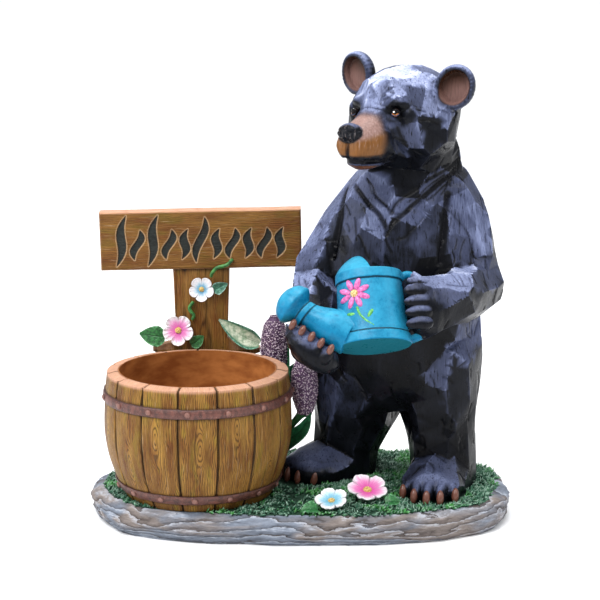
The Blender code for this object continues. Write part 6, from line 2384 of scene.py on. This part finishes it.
def makePostPlants():
    back, postFace = (0, 1, 0), onPost(0, 0, 0)
    close = 0.3 * plants["petalThickness"]
    pinkTint = ((0.72, 0.10, 0.42), (0.84, 0.42, 0.66), 0.86)
    blueTint = ((0.10, 0.36, 0.56), (0.50, 0.72, 0.84), 0.66)
    makeFlower(
        "postBlueFlower", onPost(0.005, 0.744, close), (0.05, -1, 0.10), plants["postBlue"], postFace, back,
        "post_blue_flower", blueTint, 3,
    )
    makeFlower(
        "postPinkFlower", onPost(-0.393, 0.215, close), (-0.05, -1, 0.14), plants["postPink"], postFace, back,
        "post_pink_flower", pinkTint, 4,
    )
    thick = plants["leafThickness"]
    flat, raised = 1.08 * thick, 1.45 * thick
    green = leafPaint("postLeafPaint")
    pale = leafPaint("paleLeafPaint", (0.020, 0.100, 0.060), (0.120, 0.330, 0.230), (0.50, 0.72, 0.62))
    leaves = (
        ("postBlueLeaf", "post_blue_leaf", pale, (0.1, -1, 0.1), 0.98 * plants["postBlue"], 0.35,
         ((0.210, 0.730, flat), (0.298, 0.765, raised), (0.448, 0.818, 1.25 * thick))),
        ("postPinkLeafLeft", "post_pink_leaf_left", green, (-0.1, -1, 0.2), 1.34 * plants["postPink"], 0.12,
         ((-0.624, 0.127, flat), (-0.810, 0.145, raised), (-1.060, 0.176, flat))),
        ("postPinkLeafRight", "post_pink_leaf_right", green, (0.1, -1, 0.2), 0.82 * plants["postPink"], 0.12,
         ((-0.186, 0.030, flat), (-0.083, 0.074, 1.25 * thick), (0.029, 0.145, 1.25 * thick))),
    )
    for name, node, paint, normal, width, fold, path in leaves:
        mesh = leafMesh(name, [onPost(*p) for p in path], normal, width, fold, 0.05)
        addPiece(name, mesh, paint, node, 60)
    big = leafPaint(
        "foldedLeafPaint", (0.012, 0.085, 0.050), (0.070, 0.260, 0.150), (0.26, 0.52, 0.38),
        (0.70, 0.74, 0.58),
    )
    path = [onPost(0.988, 0.042, raised), onPost(0.690, 0.145, 2.0 * thick), onPost(0.298, 0.356, flat)]
    mesh = leafMesh("foldedLeaf", path, (0.15, -1, 0.25), 0.345 * sign["postWidth"], 0.5, 0.03, 2.0)
    addPiece("foldedLeaf", mesh, big, "folded_leaf", 60)
    off = 1.05 * plants["vine"]
    over = 0.0022 + off
    vinePaint = spotPaint("vinePaint", (0.010, 0.075, 0.014), (0.055, 0.250, 0.050), 380, 0.35, 0.0005)
    vines = (
        ("upperVine", "post_vine_upper", (
            (0.543, 1.136, over), (0.436, 1.060, over), (0.269, 1.023, over),
            (0.186, 0.947, 0.5 * (off + over) + 0.4 * plants["vine"]), (0.174, 0.908, 1.25 * off),
        )),
        ("lowerVine", "post_vine_lower", (
            (-0.136, 0.586, off), (-0.202, 0.497, 1.1 * off),
            (-0.133, 0.409, 1.1 * off), (-0.160, 0.353, off),
        )),
    )
    for name, node, path in vines:
        form = bmesh.new()
        count = len(path) - 1
        rows = []
        for k, p in enumerate(path):
            girth = plants["vine"] * (0.82 + 0.18 * math.sin(math.pi * (0.15 + 0.85 * k / count)))
            rows.append((*onPost(*p), girth, girth))
        addLimb(form, rows, Vector((1, 0, 0)), 16, 10)
        addPiece(name, formMesh(form, name), vinePaint, node, 60)


def besideBarrel(turn, radius, height):
    reach = barrel["bellyRadius"] + radius + plants["clearance"]
    turn = math.radians(turn)
    x, y = barrel["middle"]
    return Vector((x + reach * math.cos(turn), y + reach * math.sin(turn), height))


def spikePaints():
    under = Paint("spikePaint", 0.55)
    fine = under.place().noise(900, 3, 0.6)
    green = fine.blend((0.010, 0.070, 0.020), (0.040, 0.170, 0.050))
    dusk = fine.blend((0.025, 0.008, 0.030), (0.100, 0.035, 0.110))
    under.setColour(under.attribute("head").blend(green, dusk))
    under.addBump(fine, 0.0006, 0.8)
    floret = Paint("floretPaint", 0.55)
    patch = floret.place().noise(170, 3)
    fleck = floret.place().noise(700, 2, 0.5, 1.2)
    purple = patch.spread(0.36, 0.64).blend((0.024, 0.007, 0.026), (0.085, 0.030, 0.090))
    # floret tips paler in flecks: painted highlight; darker at their feet: painted shade
    tip = (fleck - 0.5) * 3.0 + floret.attribute("tip")
    colour = tip.spread(0.10, -0.55).blend(purple, (0.030, 0.008, 0.035))
    floret.setColour(tip.spread(0.55, 0.85).blend(colour, (0.50, 0.40, 0.46)))
    return under, floret


def makeSpike(name, node, stations, headFrom, paints, seed):
    form = bmesh.new()
    addLimb(form, stations, Vector((1, 0, 0)), 40, 6)
    mesh = formMesh(form, name)
    points, _ = meshArrays(mesh)
    head = (points[:, 2] > headFrom).astype(float)
    setNumbers(mesh, "head", head)
    under, floret = paints
    addPiece(name, mesh, under, node)
    tree = skinTree(mesh)
    low, high = points[head > 0].min(0), points[head > 0].max(0)
    axisX, axisY = (low[0] + high[0]) / 2, (low[1] + high[1]) / 2
    count = int((high[2] - low[2]) / plants["floretRows"])
    bend = high[2] - plants["tipHeight"]
    places, facing = [], []
    pick = random.Random(seed)
    for row in range(count + 1):
        z = low[2] + (high[2] - low[2]) * (row / count)
        hub = Vector((axisX, axisY, min(z, bend)))
        spot, _, _, away = tree.ray_cast(hub, Vector((1, 0, 0.0)), 0.03)
        girth = away if away else 0.004
        if z > bend:
            girth *= math.sqrt(max(0.05, (high[2] - z) / plants["tipHeight"]))
        around = max(5, int(math.tau * girth / plants["floretGap"]))
        for k in range(around):
            turn = math.tau * (k + 0.5 * (row % 2) + pick.uniform(-0.5, 0.5)) / around
            way = Vector((math.cos(turn), math.sin(turn), pick.uniform(-0.10, 0.10)))
            if z > bend:
                way.z = 1.2
            spot, normal, _, _ = tree.ray_cast(hub, way.normalized(), 0.03)
            if spot is None:
                continue
            if normal.dot(way) < 0:
                normal = -normal
            places.append(spot - normal * 0.0003)
            facing.append((normal + Vector((0, 0, 0.35))).normalized())
    form = bmesh.new()
    bmesh.ops.create_icosphere(form, subdivisions=1, radius=1.0)
    bmesh.ops.scale(form, vec=Vector((1, 1, 1.25)) * plants["floret"], verts=form.verts)
    shape = formMesh(form, "floret")
    setNumbers(shape, "tip", [v.co.z / (1.25 * plants["floret"]) for v in shape.vertices])
    florets = scattered(name + "Florets", places, facing, shape, floret, seed, 0.75, 1.2)
    addPiece(name + "Florets", florets)


def makeSpikes():
    paints = spikePaints()
    stem, tall = plants["stem"], plants["tallHeight"]
    wide = plants["tallRadius"]
    root = besideBarrel(47.6, wide, groundFoot)
    stations = []
    for height, share, girth in (
        (0.0, 1.15, stem), (0.27, 1.0, stem), (0.41, 1.15, stem), (0.485, 0.77, wide),
        (0.73, 1.0, wide), (0.91, 0.82, wide), (0.991, 0.32, wide),
    ):
        stations.append((root.x, root.y, groundFoot + height * tall, share * girth, share * girth))
    makeSpike("tallSpike", "tall_flower_spike", stations, groundFoot + 0.45 * tall, paints, 8)
    green = leafPaint("spikeLeafPaint", (0.006, 0.050, 0.018), (0.025, 0.180, 0.070), (0.10, 0.36, 0.18))
    leaves = (
        (((0.004, -0.004, 0.356), (0.045, -0.036, 0.580), (0.085, -0.031, 0.849)), (0.1, -1, 0.0), 0.094),
        (((0.004, 0.000, 0.374), (0.108, -0.004, 0.589), (0.238, -0.018, 0.724)), (-0.2, -1, 0.5), 0.121),
    )
    for k, (path, normal, width) in enumerate(leaves):
        points = [root + Vector(p) * tall for p in path]
        mesh = leafMesh("spikeLeaf", points, normal, width * tall, 0.3, 0.04, seed=k)
        addPiece(("uprightLeaf", "leaningLeaf")[k], mesh, green, sharpest=60)
    foot = besideBarrel(44.3, stem, groundFoot)
    spike = besideBarrel(15.3, plants["shortRadius"], groundFoot)
    rise, head = plants["shortFoot"], plants["shortRadius"]
    top = plants["shortHeight"] / rise

    def between(across, back, up):
        return Vector((
            foot.x + (spike.x - foot.x) * across, foot.y + (spike.y - foot.y) * back, groundFoot + up * rise,
        ))

    stations = [(*between(*place), girth, girth) for place, girth in (
        ((0.0, 0.0, 0.0), 0.92 * stem), ((0.0, 0.0, 0.06), 0.92 * stem),
        ((0.04, 0.15, 0.25), 0.85 * stem), ((0.27, 0.50, 0.53), 0.85 * stem),
        ((0.84, 0.88, 0.92), 1.08 * stem), ((1.0, 0.98, 1.04), 0.68 * head),
        ((1.0, 1.0, 1.28), head), ((0.99, 1.0, top - 0.24), 0.96 * head),
        ((0.99, 1.0, top - 0.06), 0.62 * head), ((0.99, 1.0, top), 0.28 * head),
    )]
    makeSpike("shortSpike", "short_flower_spike", stations, groundFoot + 0.98 * rise, paints, 9)
    path = ((-0.01, 0.05, 0.084), (0.23, 0.383, 0.394), (0.87, 0.927, 0.714), (1.19, 1.167, 0.994))
    mesh = leafMesh("lowLeaf", [between(*p) for p in path], (0.35, -1, 0.5), 0.26 * rise, 0.35, 0.06)
    addPiece("lowLeaf", mesh, green, sharpest=60)


def makeGroundPlants():
    thick = plants["leafThickness"]
    flat, raised = groundFoot + 1.08 * thick, groundFoot + 1.8 * thick
    pinkTint = ((0.70, 0.06, 0.36), (0.84, 0.36, 0.62), 0.92)
    blueTint = ((0.14, 0.44, 0.60), (0.45, 0.70, 0.82), 0.86)
    green = leafPaint("groundLeafPaint", (0.008, 0.070, 0.020), (0.050, 0.250, 0.070), (0.20, 0.52, 0.26))
    for name, across, back, facing, radius, tints, slot, leaf, leafFacing, width, seed in (
        ("Pink", 0.1546, -0.2486, (0.05, -0.36, 0.93), plants["groundPink"], pinkTint, "pink_petal",
         ((0.85, -0.893), (1.17, -0.893), (1.60, -0.75)), (0, -0.5, 1), 0.78, 6),
        ("Blue", 0.0725, -0.3657, (-0.10, -0.34, 0.93), plants["groundBlue"], blueTint, "blue_petal",
         ((-0.84, -0.625), (-1.28, -0.76), (-1.86, -0.80)), (0, -0.4, 1), 1.07, 7),
    ):
        centre = Vector((across * base["width"], back * base["depth"], groundFoot + 0.27 * radius))
        node = "ground_" + name.lower()
        makeFlower("ground" + name + "Flower", centre, facing, radius, (0, 0, groundFoot), (0, 0, 1),
                   node + "_flower", tints, seed, 0.36)
        heights = (flat, raised, flat)
        path = [(centre.x + x * radius, centre.y + y * radius, z) for (x, y), z in zip(leaf, heights)]
        mesh = leafMesh("leaf", path, leafFacing, width * radius, 0.35, 0.05)
        addPiece("ground" + name + "Leaf", mesh, green, node + "_leaf", 60)


makeStudio()
makeBear()
print("bear carved and painted")
makeCan()
print("watering can made")
makeBarrel()
makeBoard()
makePost()
print("barrel and sign made")
makeBase()
print("base made")
makePostPlants()
makeSpikes()
makeGroundPlants()
print("plants made")
